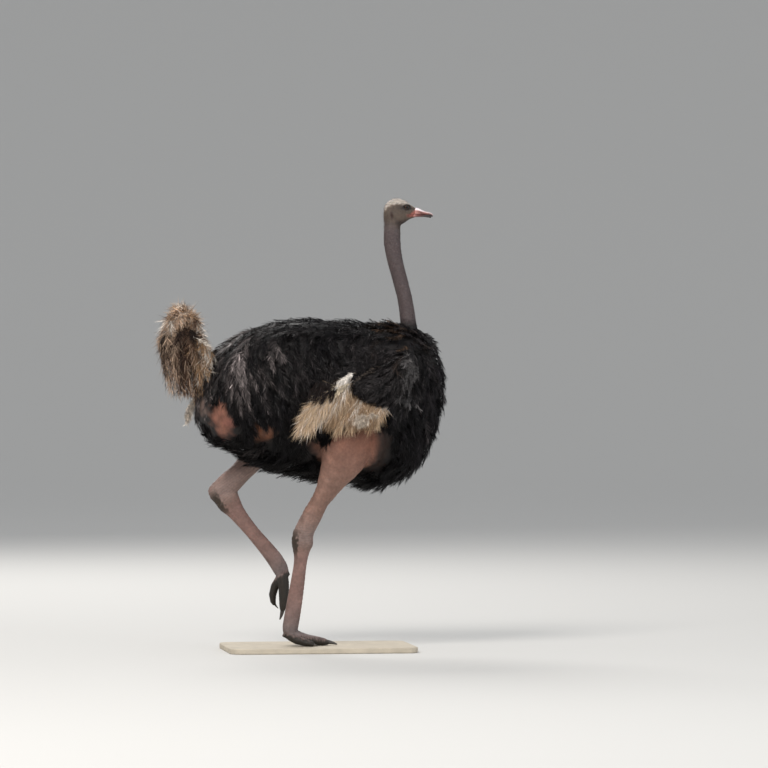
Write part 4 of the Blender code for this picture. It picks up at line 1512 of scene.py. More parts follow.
@dataclass
class BodyCoat:
    """The black, loose plumes of back, flanks and breast."""

    guide: Guide
    count: int = 3000
    length: float = 0.15
    length_spread: float = 0.035
    shortest: float = 0.05         # plumes cut shorter than this by a bare patch are left out
    barb: float = 0.027
    depth: float = 0.05
    collar_count: int = 190
    collar_top: Pair = (1.648, -0.4)       # its height at the neck, and how that falls ahead
    collar_middle: float = 0.468   # where the neck's middle is, along X
    collar_reach: Pair = (0.03, 0.105)    # how far from there the plumes start
    knots: int = 8
    seed: int = 101
    feathering: Feathering = Feathering(barbs=60, blade=0.0011, splay=0.76, sweep=0.48, hang=0.16,
                                        frizz=0.2, lift=0.16, streak=0.6)
    black: Triple = (0.0034, 0.0029, 0.0033)
    # painted sheen: lightens the plumes that face up, most at the rear
    brown: Triple = (0.115, 0.097, 0.094)
    rust: Triple = (0.06, 0.036, 0.022)
    thigh: BarePatch = BarePatch(0.238, 1.07, 0.036, 0.05, 0, (0.156, 0.055, 0.03))

    def lie(self, points: Array, normals: Array) -> Array:
        """The lie of the coat at these places."""
        x = points[:, 0]
        top = ease(0.2, 0.95, normals[:, 2]) * ease(0.54, 0.44, x)
        under = ease(-0.35, -0.85, normals[:, 2])
        breast = ease(0.42, 0.6, x) * (1 - top)
        rump = ease(-0.36, -0.58, x) * (1 - top)
        flank = np.array((0.36, 0.0, -1.0))
        aside = np.sign(points[:, 1]) * ease(0.02, 0.12, np.abs(points[:, 1]))
        spine = np.stack((np.full(len(x), -0.9), 0.35 * aside, np.full(len(x), -0.15)), 1)
        way = flank + (spine - flank) * top[:, None]
        way = overlaid(way, ((-0.1, 0, -1.0), breast), ((-0.22, 0, -1.0), rump), ((-0.7, 0, -0.5), under))
        return along_surface(way, normals)

    def build(self) -> list[Piece]:
        """Lays the plumes and dresses them.

        Returns:
            The pieces.
        """
        rng = np.random.default_rng(self.seed)
        roots = self._roots(rng)
        count = len(roots)
        here, normal = self.guide.nearest(roots)
        x, up, height = here[:, 0], normal[:, 2], here[:, 2] - SOLE
        collar = ease(1.47, 1.58, height) * ease(0.36, 0.44, x)
        breast, rump = ease(0.5, 0.64, x), ease(-0.44, -0.6, x)
        length = rng.normal(self.length, self.length_spread, count).clip(0.08, 0.24)
        length *= (1 - 0.5 * collar) * (1 - 0.35 * breast)
        length *= 1 - 0.4 * ease(-0.36, -0.52, x) * ease(-0.1, -0.6, up)
        depth = self.depth * (1 - 0.75 * collar)
        rise = np.abs(rng.normal(0, 0.01, count)) + 0.002
        rise += 0.02 * ease(-0.25, -0.65, up) * ease(-0.52, -0.25, x)
        stray = rng.normal(0, 0.22, count)
        shape = (self.guide, roots, self.lie)
        free = self._free(laid_shafts(*shape, length, depth, rise, self.knots, stray)[0])
        clear = free * length > self.shortest
        points, facing = laid_shafts(*shape, length * np.maximum(free, 0.3), depth, rise, self.knots, stray)
        tight = (0.014 + 0.018 * ease(1.2, 1.32, height)) * rump + 0.014 * breast
        tight += 0.006 * ease(0.6, 0.0, up) + 0.006 * ease(0.29, 0.33, np.abs(here[:, 1]))
        tight += 0.012 * ease(1.62, 1.67, height)
        tight += rng.uniform(0, 0.022, count) * (1 - 0.6 * rump)
        points = points - facing * tight[:, None, None]
        tint = self._tints(rng, here, up, collar)
        barb = self.barb * (1 - 0.35 * collar) * rng.uniform(0.8, 1.2, count)
        shafts = Shafts(points, facing, barb, tint, trunk_unwrap(here)).chosen(np.flatnonzero(clear))
        return self.feathering.grow("body_plumes", shafts, BLACK_FEATHER, self.seed)

    def _roots(self, rng: Random) -> Array:
        """Where plumes start: all over the trunk, but on the neck only around its foot."""
        roots = self.guide.scatter(self.count, rng)
        on_neck = (roots[:, 2] - SOLE > 1.6) & (roots[:, 0] > 0.52)
        roots = roots[rng.uniform(0, 1, len(roots)) < np.where(on_neck, 0.0, 1.0)]
        roots = np.vstack((roots, self._collar(rng)))
        return roots[np.argsort(roots[:, 0])]

    def _free(self, points: Array) -> Array:
        """The share of each plume that lies before the first bare patch that it meets."""
        spots = points.reshape(-1, 3)
        bare = np.min([patch.reach(spots) for patch in PATCHES], 0)
        bare = np.where(spots[:, 1] < 0, np.minimum(bare, self.thigh.reach(spots)), bare)
        within = bare.reshape(len(points), -1) < 1.28
        return np.where(within.any(1), within.argmax(1) / (self.knots - 1), 1.0)

    def _tints(self, rng: Random, here: Array, up: Array, collar: Array) -> Array:
        """Black, with a painted brown sheen on top and some rust beside the neck."""
        x, height = here[:, 0], here[:, 2] - SOLE
        # Painted sheen: plumes that face up, most at the rear, are lightened with brown, and a few at
        # random.
        above = ease(-0.1, 0.4, up) * (1 - 0.92 * ease(-0.36, -0.12, x))
        sheen = above * np.clip(0.55 + 0.8 * ripple(here, 0.13, 61), 0, 1)
        sheen += 0.1 * (rng.uniform(0, 1, len(here)) < 0.08)
        tint = np.array(self.black) * (1 + 1.4 * ease(0.36, 0.6, x))[:, None]
        band = bell(x - 0.42, 0.07) * bell(height - 1.545, 0.035)
        rusty = np.maximum(band, collar * ease(0.5, 0.4, x)) * (rng.uniform(0, 1, len(here)) < 0.45)
        tint = overlaid(tint, (self.brown, sheen), (self.rust, rusty))
        return tint * np.exp(rng.normal(0, 0.45, len(here))).clip(0.4, 1.9)[:, None]

    def _collar(self, rng: Random) -> Array:
        """Roots of the short plumes where the neck leaves the trunk."""
        turn = rng.uniform(0, 2 * math.pi, self.collar_count)
        out = rng.uniform(*self.collar_reach, self.collar_count)
        x = self.collar_middle + out * np.cos(turn)
        height, fall = self.collar_top
        level = SOLE + height + fall * (x - self.collar_middle) - 0.7 * (out - self.collar_reach[0])
        return np.stack((x, out * np.sin(turn), level), 1)


@dataclass
class WingCoat:
    """The short feathers of one folded wing's arm, and the grey down at its front."""

    side: Side
    guide: Guide
    count: int = 330
    down_count: int = 80
    rim_count: int = 60
    stand: float = 0.33            # how far from the middle of the bird the down and the rim lie
    seed: int = 201
    feathering: Feathering = Feathering(barbs=44, blade=0.001, splay=0.72, sweep=0.45, hang=0.1,
                                        frizz=0.16, lift=0.14, streak=0.6)
    fluff: Feathering = Feathering(barbs=34, blade=0.0008, splay=1.1, sweep=0.3, hang=0.1, frizz=0.5,
                                   lift=0.3)
    black: Triple = (0.02, 0.0175, 0.0175)
    frost: Triple = (0.15, 0.12, 0.1)
    grey: Triple = (0.115, 0.107, 0.106)

    def lie(self, points: Array, normals: Array) -> Array:
        """The lie of the wing's feathers: down at the front, more to the rear behind."""
        way = overlaid(np.array((-0.3, 0, -1.0)), ((-1.0, 0, -0.42), ease(0.46, 0.16, points[:, 0])))
        return along_surface(way, normals)

    def build(self) -> list[Piece]:
        """Lays the feathers and dresses them.

        Returns:
            The pieces.
        """
        rng = np.random.default_rng(self.seed + self.side.value)
        low, high = node_box(f"wing_{self.side.word}")
        middle, size = (low + high) / 2, high - low
        roots = self.guide.scatter(self.count * 16, rng)
        away = (roots - middle) / (size / 2)
        inside = (np.hypot(away[:, 0], away[:, 2]) < 1.02) & (roots[:, 1] * self.side.value > 0.2)
        roots = roots[inside][:self.count]
        here, normal = self.guide.nearest(roots)
        count = len(roots)
        length = rng.uniform(0.065, 0.115, count)
        depth, rise = np.full(count, 0.012), 0.002 + np.abs(rng.normal(0, 0.006, count))
        points, facing = laid_shafts(self.guide, roots, self.lie, length, depth, rise, 6,
                                     rng.normal(0, 0.2, count))
        points = points - facing * 0.004
        tint = np.array(self.black) * np.exp(rng.normal(0, 0.3, count))[:, None]
        shafts = Shafts(points, facing, rng.uniform(0.018, 0.028, count), tint, trunk_unwrap(here))
        word = self.side.word
        made = self.feathering.grow(f"wing_feathers_{word}", shafts, BLACK_FEATHER, self.seed)
        made += self.fluff.grow(f"wing_down_{word}", self._down(rng, low, high), PALE_FEATHER, self.seed)
        made += self.fluff.grow(f"wing_rim_{word}", self._rim(rng), PALE_FEATHER, self.seed)
        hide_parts(f"wing_{word}")
        return made

    def _down(self, rng: Random, low: Array, high: Array) -> Shafts:
        """Curly grey down along the front of the wing."""
        size, count = high - low, self.down_count
        share = rng.uniform(0, 1, (2, count))
        side = np.full(count, self.side.value * self.stand)
        start = np.stack((low[0] + size[0] * (0.72 + 0.24 * share[0]), side,
                          low[2] + size[2] * (0.1 + 0.74 * share[1])), 1)
        return self._strewn(rng, start, (0.035, 0.085), 0.7, (0.01, 0.018), self.grey)

    def _rim(self, rng: Random) -> Shafts:
        """Short frosted feathers along the upper edge of the wing."""
        along = rng.uniform(-1, 1, self.rim_count)
        start = np.stack((0.19 + 0.073 * along, np.full(len(along), self.side.value * self.stand),
                          SOLE + 1.416 + 0.049 * along), 1) + rng.normal(0, 0.005, (len(along), 3))
        return self._strewn(rng, start, (0.022, 0.048), 0.35, (0.005, 0.009), self.frost)

    def _strewn(self, rng: Random, start: Array, length: Pair, stray: float,
                barb: Pair, tint: Triple) -> Shafts:
        """Small loose feathers that lie on the wing from these places, within these ranges of size."""
        count = len(start)
        here, _ = self.guide.nearest(start)
        points, facing = laid_shafts(self.guide, here, self.lie, rng.uniform(*length, count),
                                     np.full(count, 0.004), rng.uniform(0.004, 0.018, count), 6,
                                     rng.normal(0, stray, count))
        tints = np.array(tint) * np.exp(rng.normal(0, 0.35, count))[:, None]
        return Shafts(points - facing * 0.002, facing, rng.uniform(*barb, count), tints, trunk_unwrap(here))


def bowed(root: Array, middle: Array, tip: Array, knots: int) -> Array:
    """Points along smooth bows that leave the root towards the middle and end at the tip."""
    t = np.linspace(0, 1, knots)[None, :, None]
    return (1 - t) ** 2 * root[:, None] + 2 * t * (1 - t) * middle[:, None] + t ** 2 * tip[:, None]


@dataclass(frozen=True)
class Tuft:
    """Short feathers that lie over the pale plumes of one wing. Places are distances ahead and heights."""

    name: str
    count: int
    place: Pair                    # the middle of the roots
    spread: Pair                   # half the reach of the roots along their line
    way: Pair                      # from root to tip
    barb: float                    # the length of the barbs
    tint: Triple
    finish: Finish = PALE_FEATHER


@dataclass
class PalePlumes:
    """The long cream plumes that trail and hang from one folded wing.

    Each row of the fan is the root, the middle and the tip of a plume on the left side, as distance
    ahead and height above the sole. The fan runs from the trailing plumes to the front.
    """

    side: Side
    count: int = 88
    knots: int = 10
    seed: int = 301
    fan: Array = field(default_factory=lambda: np.array((
        ((0.095, 1.340), (-0.048, 1.278), (-0.128, 1.134)),
        ((0.090, 1.325), (-0.036, 1.246), (-0.100, 1.120)),
        ((0.120, 1.352), (0.008, 1.276), (-0.062, 1.182)),
        ((0.130, 1.345), (0.060, 1.262), (0.012, 1.188)),
        ((0.165, 1.318), (0.112, 1.246), (0.062, 1.126)),
        ((0.200, 1.300), (0.170, 1.230), (0.120, 1.146)),
        ((0.235, 1.280), (0.220, 1.214), (0.176, 1.150)),
        ((0.268, 1.258), (0.266, 1.202), (0.228, 1.156)),
        ((0.294, 1.242), (0.296, 1.208), (0.260, 1.182)))))
    stand: Triple = (0.321, 0.343, 0.32)     # side of root, middle and tip
    barbs: int = 150               # on each long plume
    feathering: Feathering = Feathering(blade=0.0008, splay=0.58, sweep=0.42, hang=0.34,
                                        frizz=0.36, lift=0.2, root_shade=0.9, streak=0.28)
    cream: Triple = (0.56, 0.415, 0.28)
    white: Triple = (0.8, 0.74, 0.68)
    # painted shade: the tan of cream plumes in shade
    tan: Triple = (0.31, 0.2, 0.118)
    tufts: tuple[Tuft, ...] = (
        Tuft("white_tuft", 26, (0.108, 1.366), (0.026, 0.015), (-0.056, -0.034), 0.011, (0.8, 0.74, 0.68)),
        Tuft("cream_tuft", 20, (0.092, 1.326), (0.034, 0.014), (-0.05, -0.018), 0.012, (0.68, 0.57, 0.42)),
        Tuft("under_tuft", 30, (0.212, 1.162), (0.058, 0.008), (-0.016, -0.018), 0.015, (0.52, 0.44, 0.36)),
        Tuft("dark_tuft", 34, (0.008, 1.346), (0.044, 0.003), (-0.04, -0.094), 0.019,
             (0.014, 0.009, 0.008), BLACK_FEATHER))

    def build(self) -> list[Piece]:
        """Lays the plumes and dresses them.

        Returns:
            The pieces.
        """
        rng = np.random.default_rng(self.seed + self.side.value)
        count = self.count
        share = (np.arange(count) + rng.uniform(0, 1, count)) / count
        rows = spline(self.fan, share)
        layer = rng.uniform(-1, 1, count)
        bows = []
        for k, (stand, stray) in enumerate(zip(self.stand, (0.013, 0.012, 0.019))):
            side = stand + (0.01, 0.014, 0.014)[k] * layer - 0.016 * share
            bows.append(np.stack((rows[:, k, 0], side, rows[:, k, 1]), 1)
                        + rng.normal(0, (stray, 0.004, stray), (count, 3)))
        shade = rng.uniform(0, 1, count)
        trailing, middle, front = ease(0.3, 0.18, share), ease(0.25, 0.4, share), ease(0.76, 0.88, share)
        # Tan as painted shade on some plumes, most in the hanging middle of the fan; white on others, most
        # among the trailing and front ones.
        tint = overlaid(np.broadcast_to(self.cream, (count, 3)),
                        (self.tan, (shade > 0.85 - 0.38 * middle + 0.25 * front) * 0.9),
                        (self.white, (shade < 0.1 + 0.38 * trailing + 0.2 * front) * 0.8))
        barb = rng.uniform(0.04, 0.056, count) * (1 - 0.25 * front)
        made = self._laid(rng, "pale_plumes", tuple(bows), barb, tint, PALE_FEATHER, self.barbs)
        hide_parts(f"wing_plumes_{self.side.word}")
        for tuft in self.tufts:
            made += self._tuft(rng, tuft)
        return made

    def _tuft(self, rng: Random, tuft: Tuft) -> list[Piece]:
        """One tuft, dressed."""
        count = tuft.count
        along = rng.uniform(-1, 1, (count, 1))
        flat = np.array(tuft.place) + along * tuft.spread + rng.normal(0, 0.4 * tuft.barb, (count, 2))
        root = np.column_stack((flat[:, 0], rng.uniform(0.34, 0.35, count), flat[:, 1]))
        tip = root + (tuft.way[0], 0.004, tuft.way[1]) + rng.normal(0, 0.01, (count, 3))
        middle = (root + tip) / 2 + np.array((0.0, 0.004, 0.01))
        tints = np.array(tuft.tint) * rng.uniform(0.8, 1.05, (count, 1))
        barbs = tuft.barb * rng.uniform(0.75, 1.25, count)
        return self._laid(rng, tuft.name, (root, middle, tip), barbs, tints, tuft.finish, 70)

    def _laid(self, rng: Random, name: str, bows: tuple[Array, Array, Array], barb: Array,
              tint: Array, finish: Finish, barbs: int) -> list[Piece]:
        """Plumes on bows that are given for the left side, above the sole."""
        points = bowed(*bows, self.knots)
        points[:, :, 2] += SOLE
        points[:, :, 1] *= self.side.value
        facing = unit(np.array((0.05, self.side.value, 0.25)) + rng.normal(0, 0.22, (len(points), 1, 3)))
        shafts = Shafts(points, facing, barb, tint, trunk_unwrap(points[:, 0]))
        feathering = replace(self.feathering, barbs=barbs)
        return feathering.grow(f"{name}_{self.side.word}", shafts, finish, self.seed)


@dataclass
class TailCoat:
    """The mop of curly plumes that rises from the dock, arches over and hangs.

    Each row of its form is a height above the sole, then its rear, its front and its half width there.
    """

    count: int = 350
    curl_count: int = 40
    under_count: int = 22
    crown_share: float = 0.3       # plumes that end high, as a fringe over the rest
    knots: int = 11
    seed: int = 401
    dock: Triple = (-0.61, 0.0, 1.47)
    form: Array = field(default_factory=lambda: np.array((
        (1.290, -0.750, -0.572, 0.118),
        (1.340, -0.775, -0.556, 0.132),
        (1.400, -0.795, -0.540, 0.142),
        (1.485, -0.815, -0.530, 0.146),
        (1.570, -0.808, -0.566, 0.138),
        (1.630, -0.798, -0.590, 0.126),
        (1.690, -0.760, -0.652, 0.080),
    )))
    inset: float = 0.018           # how far the shafts keep inside the form
    square: float = 0.82           # how round its rings are, where less is squarer
    feathering: Feathering = Feathering(barbs=100, blade=0.001, splay=0.9, sweep=0.24, hang=0.42,
                                        frizz=0.55, lift=0.14, streak=0.42)
    tan: Triple = (0.4, 0.285, 0.205)
    golden: Triple = (0.4, 0.25, 0.145)
    # painted shade in the hollow under the crown's fringe; also some plumes dark at random
    dark: Triple = (0.026, 0.015, 0.011)
    brown: Triple = (0.105, 0.06, 0.04)
    pale: Triple = (0.6, 0.53, 0.46)

    def _ring(self, turn: Array, height: Array, out: Array) -> Array:
        """Points inside the mop at these heights, by turn and by share of its size there."""
        rear, front, half = (np.interp(height, self.form[:, 0], self.form[:, k]) for k in (1, 2, 3))
        depth = (front - rear) / 2 - self.inset
        bow, sway = (np.sign(wave) * np.abs(wave) ** self.square for wave in (np.cos(turn), np.sin(turn)))
        x, y = (rear + front) / 2 + bow * depth * out, sway * (half - self.inset) * out
        return np.stack((x, y, height), 1)

    def build(self) -> list[Piece]:
        """Lays the plumes and dresses them.

        Returns:
            The pieces.
        """
        rng = np.random.default_rng(self.seed)
        count = self.count
        turn = (np.arange(count) + rng.uniform(0, 1, count)) / count * 2 * math.pi
        ahead, side = np.cos(turn), ease(0.75, 0.95, np.abs(np.sin(turn)))
        crown = rng.uniform(0, 1, count) < self.crown_share
        level = rng.uniform(0, 1, count)
        height = np.where(crown, 1.6 + 0.055 * level + 0.055 * side, 1.285 + 0.29 * level ** 2.2)
        out = rng.uniform(0.15, 1.0, count) ** 0.5
        out = np.where(~crown & ((ahead < -0.93) | (side > 0.5) & (level > 0.8)), 1.1, out)
        root = np.array(self.dock) + rng.normal(0, (0.018, 0.03, 0.03), (count, 3))
        end = self._ring(turn, height, out)
        end[:, :2] += rng.normal(0, 0.012, (count, 2))
        over = self._ring(turn, np.where(crown, height, 1.55), out * np.where(crown, 1.1, 1.2))
        over[:, 2] = np.where(crown, height + 0.05, np.maximum(height + 0.05, 1.585))
        top = self._ring(turn, np.full(count, 1.62), 0.45 * out)
        top[:, 2] = np.where(crown, 1.75, 1.725) - 0.06 * out ** 2
        t = np.linspace(0, 1, self.knots)[None, :, None]
        points = ((1 - t) ** 3 * root[:, None] + 3 * t * (1 - t) ** 2 * top[:, None]
                  + 3 * t ** 2 * (1 - t) * over[:, None] + t ** 3 * end[:, None])
        aside = np.stack((-np.sin(turn), np.cos(turn), np.zeros(count)), 1)[:, None]
        points = points + 0.016 * t * np.sin(t * 8 + 5 * turn[:, None, None]) * aside
        points[:, :, 2] += SOLE
        outward = np.stack((np.cos(turn), np.sin(turn), np.full(count, 0.5)), 1)[:, None]
        facing = unit(outward + rng.normal(0, 0.28, (count, 1, 3)))
        barb = rng.uniform(0.026, 0.042, count)
        tint = self._tints(rng, turn, crown, level)
        shafts = Shafts(points, facing, barb, tint, trunk_unwrap(points[:, 0] + 0.12 * outward[:, 0]))
        made = self.feathering.grow("tail_plumes", shafts, TAIL_FEATHER, self.seed)
        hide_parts("tail")
        return made + self._curls(rng) + self._undertail(rng)

    def _curls(self, rng: Random) -> list[Piece]:
        """Pale curls that hang from the front of the mop over each side of the rump."""
        count = self.curl_count
        side = np.where(np.arange(count) % 2, 1.0, -1.0)
        share = rng.uniform(0, 1, count)
        out = 0.15 + 0.022 * rng.uniform(0, 1, count)
        root = np.stack((np.full(count, -0.652), 0.1 * side, 1.57 - 0.06 * share), 1)
        middle = np.stack((-0.595 + 0.02 * share, (out + 0.012) * side, 1.565 - 0.05 * share), 1)
        tip = np.stack((-0.552 - 0.045 * share, out * side, 1.478 - 0.13 * share), 1)
        stray = rng.normal(0, 0.01, (3, count, 3))
        points = bowed(root + stray[0], middle + stray[1], tip + stray[2], self.knots)
        t = np.linspace(0, 1, self.knots)[None, :]
        points[:, :, 0] += 0.012 * t * np.sin(9 * t + 20 * share[:, None])
        points[:, :, 2] += SOLE
        facing = unit(np.stack((0.3 * side ** 2, side, 0.2 * side ** 2), 1)[:, None]
                      + rng.normal(0, 0.3, (count, 1, 3)))
        golden = rng.uniform(0, 1, count) < 0.55
        tint = overlaid(np.broadcast_to(self.pale, (count, 3)), (self.golden, golden))
        shafts = Shafts(points, facing, rng.uniform(0.012, 0.022, count),
                        tint * rng.uniform(0.45, 1.1, (count, 1)), trunk_unwrap(root))
        return replace(self.feathering, barbs=60).grow("tail_curls", shafts, TAIL_FEATHER, self.seed)

    def _tints(self, rng: Random, turn: Array, crown: Array, level: Array) -> Array:
        """Tan and pale on the crown, golden ahead, dark as painted shade in each side's hollow, and brown
        below.
        """
        ahead, beside = np.cos(turn), np.abs(np.sin(turn))
        chance = rng.uniform(0, 1, len(turn))
        # painted shade: all plumes in the hollow under the crown's fringe are dark
        hollow = (beside > 0.86) & (level > 0.84)
        tint = overlaid(
            np.broadcast_to(self.brown, (len(turn), 3)),
            (self.tan, ~crown & (chance > 0.8 - 0.26 * (ahead < -0.3))),
            (self.golden, ~crown & (ahead > 0.25) & (chance > 0.25)),
            (self.tan, ~crown & (ahead > 0.25) & (chance > 0.6)),
            (self.pale, ~crown & (ahead > 0.3) & (chance > 0.84 - 0.3 * (ahead > 0.7))),
            (self.dark, ~crown & (ahead < 0.5) & ((chance < 0.26) | hollow)),
            (self.tan, crown & (chance < 0.55)),
            (self.golden, crown & (chance > 0.6) & (chance < 0.76)),
            (self.pale, crown & (chance > 0.76)))
        return tint * np.exp(rng.normal(0, 0.25, len(turn)))[:, None]

    def _undertail(self, rng: Random) -> list[Piece]:
        """The short pale tuft under the tail."""
        low, high = node_box("undertail_tuft")
        size, count = high - low, self.under_count
        root = low + size * np.array((0.8, 0.35, 0.86)) + rng.normal(0, 0.01, (count, 3))
        tip = low + size * np.array((0.25, 0.6, 0.1)) + rng.normal(0, (0.007, 0.01, 0.018), (count, 3))
        points = bowed(root, (root + tip) / 2 + np.array((-0.018, 0.0, 0.006)), tip, 8)
        facing = unit(np.array((-0.6, -0.4, 0.3)) + rng.normal(0, 0.35, (count, 1, 3)))
        tint = np.array(self.pale) * rng.uniform(0.8, 1.15, (count, 1))
        shafts = Shafts(points, facing, rng.uniform(0.012, 0.02, count), tint, trunk_unwrap(root))
        made = replace(self.feathering, barbs=60).grow("undertail_plumes", shafts, TAIL_FEATHER, self.seed)
        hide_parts("undertail_tuft")
        return made


@dataclass
class NeckDown:
    """The short down and bristles of neck and head, and the lashes."""

    head: Head
    skin: Piece
    count: int = 17_000
    bristles: int = 620
    lashes: int = 46
    lowest: float = 1.56           # height above the sole where the down begins
    sunk: float = 0.0004           # how deep roots lie under the skin
    bristle_tint: Triple = (0.055, 0.042, 0.036)
    lash_tint: Triple = (0.006, 0.005, 0.005)
    seed: int = 501

    def build(self) -> list[Piece]:
        """Grows the down, the bristles and the lashes and dresses them.

        Returns:
            The pieces.
        """
        rng = np.random.default_rng(self.seed)
        mesh = self.skin.data
        corners, places, normals = corners_of(mesh), vertex_places(mesh), vertex_normals(mesh)
        tints = read(mesh.attributes["tint"].data, "color", 4)[:, :3]
        middles = places[corners].mean(1)
        corners = corners[(middles[:, 2] > SOLE + self.lowest) & (middles[:, 0] > 0.3)]
        a, b, c = (places[corners[:, k]] for k in range(3))
        areas = np.linalg.norm(np.cross(b - a, c - a), axis=1)
        picked = corners[rng.choice(len(corners), self.count, p=areas / areas.sum())]
        share = rng.dirichlet((1, 1, 1), self.count)[..., None]
        root, normal, tint = ((rows[picked] * share).sum(1) for rows in (places, normals, tints))
        normal = unit(normal)
        made = [self._down(rng, root, normal, tint), self._bristles(rng, root, normal)]
        return made + [self._lashes(rng, side) for side in Side]

    def _lie(self, root: Array, normal: Array) -> Array:
        """Down the neck, and back over the head."""
        _, above, _ = self.head.around_eye(root)
        skull = ease(-0.15, -0.09, above)[:, None]
        way = np.array((-0.1, 0, -1.0)) * (1 - skull) + np.array((-1.0, 0, -0.25)) * skull
        return along_surface(way, normal)

    def _unwrap(self, root: Array) -> Array:
        """Places on the unwrap of neck and head: up it, and around it."""
        low, high = SOLE + 1.5, node_box("head")[1][2]
        around = np.arctan2(root[:, 1], root[:, 0] - 0.42) / (2 * math.pi) + 0.5
        return np.column_stack(((root[:, 2] - low) / (high - low) * 0.98 + 0.01, around))

    def _down(self, rng: Random, root: Array, normal: Array, tint: Array) -> Piece:
        """Short soft hair lying on the skin, thin on the face and left out round eyes and bill."""
        ahead, above, out = self.head.around_eye(root)
        face = (above > -0.12) & (ahead > -0.12)
        keep = ~((out < 1.7) & face) & ~(face & (ahead > 0.034))
        keep &= ~(face & (rng.uniform(0, 1, len(root)) < 0.35))
        crown = (face & (above > 0.012) & (ahead < 0.02))[keep]
        root, normal, tint, face = root[keep], normal[keep], tint[keep], face[keep]
        along = unit(self._lie(root, normal) + normal * rng.uniform(0.1, 0.55, (len(root), 1))
                     + rng.normal(0, 0.22, root.shape))
        length = rng.uniform(0.006, 0.011, len(root)) * np.where(face, 0.5, 1.0)
        length = np.where(crown, length * 2.2, length)
        along = unit(along + normal * (0.45 * crown)[:, None])
        pale = (rng.uniform(0, 1, len(root)) < 0.22)[:, None]
        tint = tint * np.exp(rng.normal(0, 0.25, (len(root), 1))) * np.where(pale, 2.0, 0.95)
        hair = Blades(root - normal * self.sunk, along, normal, length, 0.00055, tint, self._unwrap(root))
        return hair.grow("neck_hair")

    def _bristles(self, rng: Random, root: Array, normal: Array) -> Piece:
        """Sparse dark bristles on the crown and the nape."""
        ahead, above, out = self.head.around_eye(root)
        crown = (above > -0.12) & (ahead < 0.03) & (out > 1.9) & ((normal[:, 2] > 0.1) | (ahead < -0.09))
        index = np.flatnonzero(crown)[:self.bristles]
        root, normal = root[index], normal[index]
        along = unit(self._lie(root, normal) + normal * rng.uniform(0.6, 1.6, (len(root), 1))
                     + rng.normal(0, 0.25, root.shape))
        tint = np.array(self.bristle_tint) * np.exp(rng.normal(0, 0.3, (len(root), 1)))
        length = rng.uniform(0.009, 0.019, len(root))
        hair = Blades(root - normal * self.sunk, along, normal, length, 0.00028, tint, self._unwrap(root))
        return hair.grow("crown_bristles")

    def _lashes(self, rng: Random, side: Side) -> Piece:
        """Long dark lashes along the upper lid."""
        edge = self.head.opening_edge(1.05, 0.0022, side)
        middle = self.head.eye * (1, side.value, 1)
        at = np.linspace(0.04, 0.47, self.lashes) * len(edge)
        start = at.astype(int)
        root = edge[start] + (edge[(start + 1) % len(edge)] - edge[start]) * (at % 1)[:, None]
        out = unit(root - middle)
        along = unit(out + np.array((0, side.value * 0.9, 0.15)) + rng.normal(0, 0.1, root.shape))
        normal = unit(np.cross(along, AHEAD))
        normal = normal * np.sign(normal[:, 2])[:, None]
        tint = np.broadcast_to(self.lash_tint, root.shape)
        length = rng.uniform(0.008, 0.012, len(root))
        hair = Blades(root, along, normal, length, 0.0003, tint, self._unwrap(root), droop=-0.3)
        return hair.grow(f"lashes_{side.word}")


# ---- the base and the studio


def dress_base() -> Piece:
    """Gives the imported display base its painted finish.

    Returns:
        The base.
    """
    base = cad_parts["stand_base"]
    base.data.materials.clear()
    base.data.materials.append(BOARD.material())
    return base


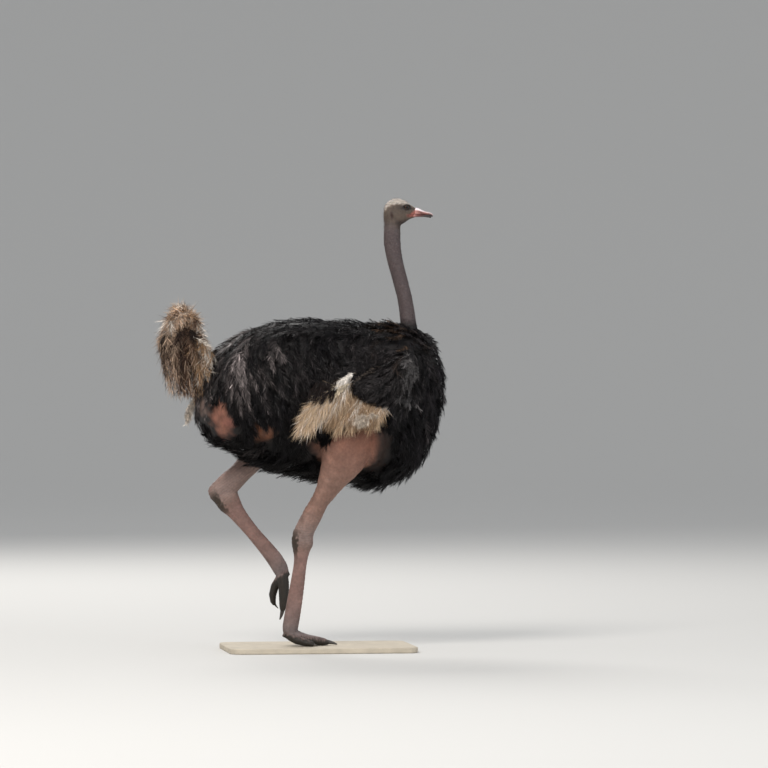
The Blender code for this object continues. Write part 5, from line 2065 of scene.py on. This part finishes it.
@dataclass
class Studio:
    """A plain pale floor that rises far away, soft light, and the camera."""

    flat_reach: float = 24.0       # how far the floor is flat
    floor_reach: float = 60.0
    floor_rise: float = 26.0
    aim: Triple = (0.333, -0.047, 1.359)
    turn: float = 8.0              # how far the view is turned towards the bird's rear, in degrees
    distance: float = 26.0
    camera_height: float = 0.26    # above the point that it looks at
    field_width: float = 3.917     # what the view takes in at that distance

    def build(self) -> None:
        """Makes all of it."""
        self._floor()
        self._sky()
        self._lamp("key", (-5.5, -8.5, 9.5), 4.5, 1250.0, (1.0, 0.965, 0.92))
        self._lamp("fill", (9.0, -10.0, 4.0), 7.0, 520.0, (0.92, 0.96, 1.0))
        self._lamp("rim", (-2.0, 9.0, 8.0), 5.0, 700.0, (1.0, 0.98, 0.95))
        self._camera()

    def _floor(self) -> None:
        """The floor, flat near the bird."""
        reach = np.concatenate(((0.01, 8.0), np.linspace(20, self.floor_reach, 14)))
        beyond = np.clip((reach - self.flat_reach) / (self.floor_reach - self.flat_reach), 0, 1)
        rise = self.floor_rise * beyond ** 2.2
        around = circle(72)
        rings = np.stack((reach[:, None] * np.cos(around), reach[:, None] * np.sin(around),
                          rise[:, None] + 0 * around), 2)
        floor = add_object("floor", rings.reshape(-1, 3), [(a, d, c, b) for a, b, c, d in quads(rings)])
        paint = bpy.data.materials.new("floor_paint")
        paint.use_nodes = True
        fill(paint.node_tree.nodes["Principled BSDF"],
             {"Base Color": (0.6, 0.59, 0.57, 1), "Roughness": 0.9})
        floor.data.materials.append(paint)

    @staticmethod
    def _sky() -> None:
        """Even light from all around."""
        world = bpy.data.worlds.new("studio")
        world.use_nodes = True
        fill(world.node_tree.nodes["Background"], {"Color": (0.93, 0.96, 1.0, 1), "Strength": 0.6})
        bpy.context.scene.world = world

    def _lamp(self, name: str, place: Triple, size: float, power: float,
              colour: Triple) -> None:
        """A large soft lamp that looks at the bird."""
        light = bpy.data.lights.new(name, "AREA")
        light.size = size
        light.energy = power
        light.color = colour
        self._aimed(name, light, Vector(place))

    def _aimed(self, name: str, data: bpy.types.ID, place: Vector) -> Piece:
        """A lamp or camera at this place that looks at the bird."""
        made = placed(name, data)
        made.location = place
        made.rotation_euler = (Vector(self.aim) - made.location).to_track_quat("-Z", "Y").to_euler()
        return made

    def _camera(self) -> None:
        """The camera, from the bird's right and a little behind."""
        turn = math.radians(self.turn)
        back = Vector((-math.sin(turn), -math.cos(turn), 0.0))
        data = bpy.data.cameras.new("camera")
        data.sensor_width = 36.0
        data.lens = data.sensor_width * self.distance / self.field_width
        data.clip_end = 200.0
        place = Vector(self.aim) + back * self.distance + Vector((0, 0, self.camera_height))
        bpy.context.scene.camera = self._aimed("camera", data, place)


def main() -> None:
    """Builds the bird from the skin outwards."""
    logging.basicConfig(level=logging.INFO, format="%(asctime)s %(message)s")
    bpy.context.scene.view_settings.view_transform = "Standard"
    head = Head()
    legs = tuple(Leg(side) for side in Side)
    skin = Skin(TrunkForm(), head, legs).build()
    log.info("skin: %d faces", len(skin.data.polygons))
    made = [Eye(side, head).build() for side in Side] + Bill().build(head)
    made += [Claw(f"claw_{toe}_{side.word}").build() for toe in ("inner", "outer") for side in Side]
    guide = Guide(["trunk", "wing_left", "wing_right", "neck_lower"], 0.016, 14)
    made += BodyCoat(guide).build()
    for side in Side:
        made += WingCoat(side, guide).build()
        made += PalePlumes(side).build()
    made += TailCoat().build()
    made += NeckDown(head, skin).build()
    made.append(dress_base())
    for piece in made:
        log.info("%s: %d triangles", piece.name, triangle_count(piece))
    Studio().build()
    bpy.context.view_layer.update()


if __name__ == "__main__":
    main()
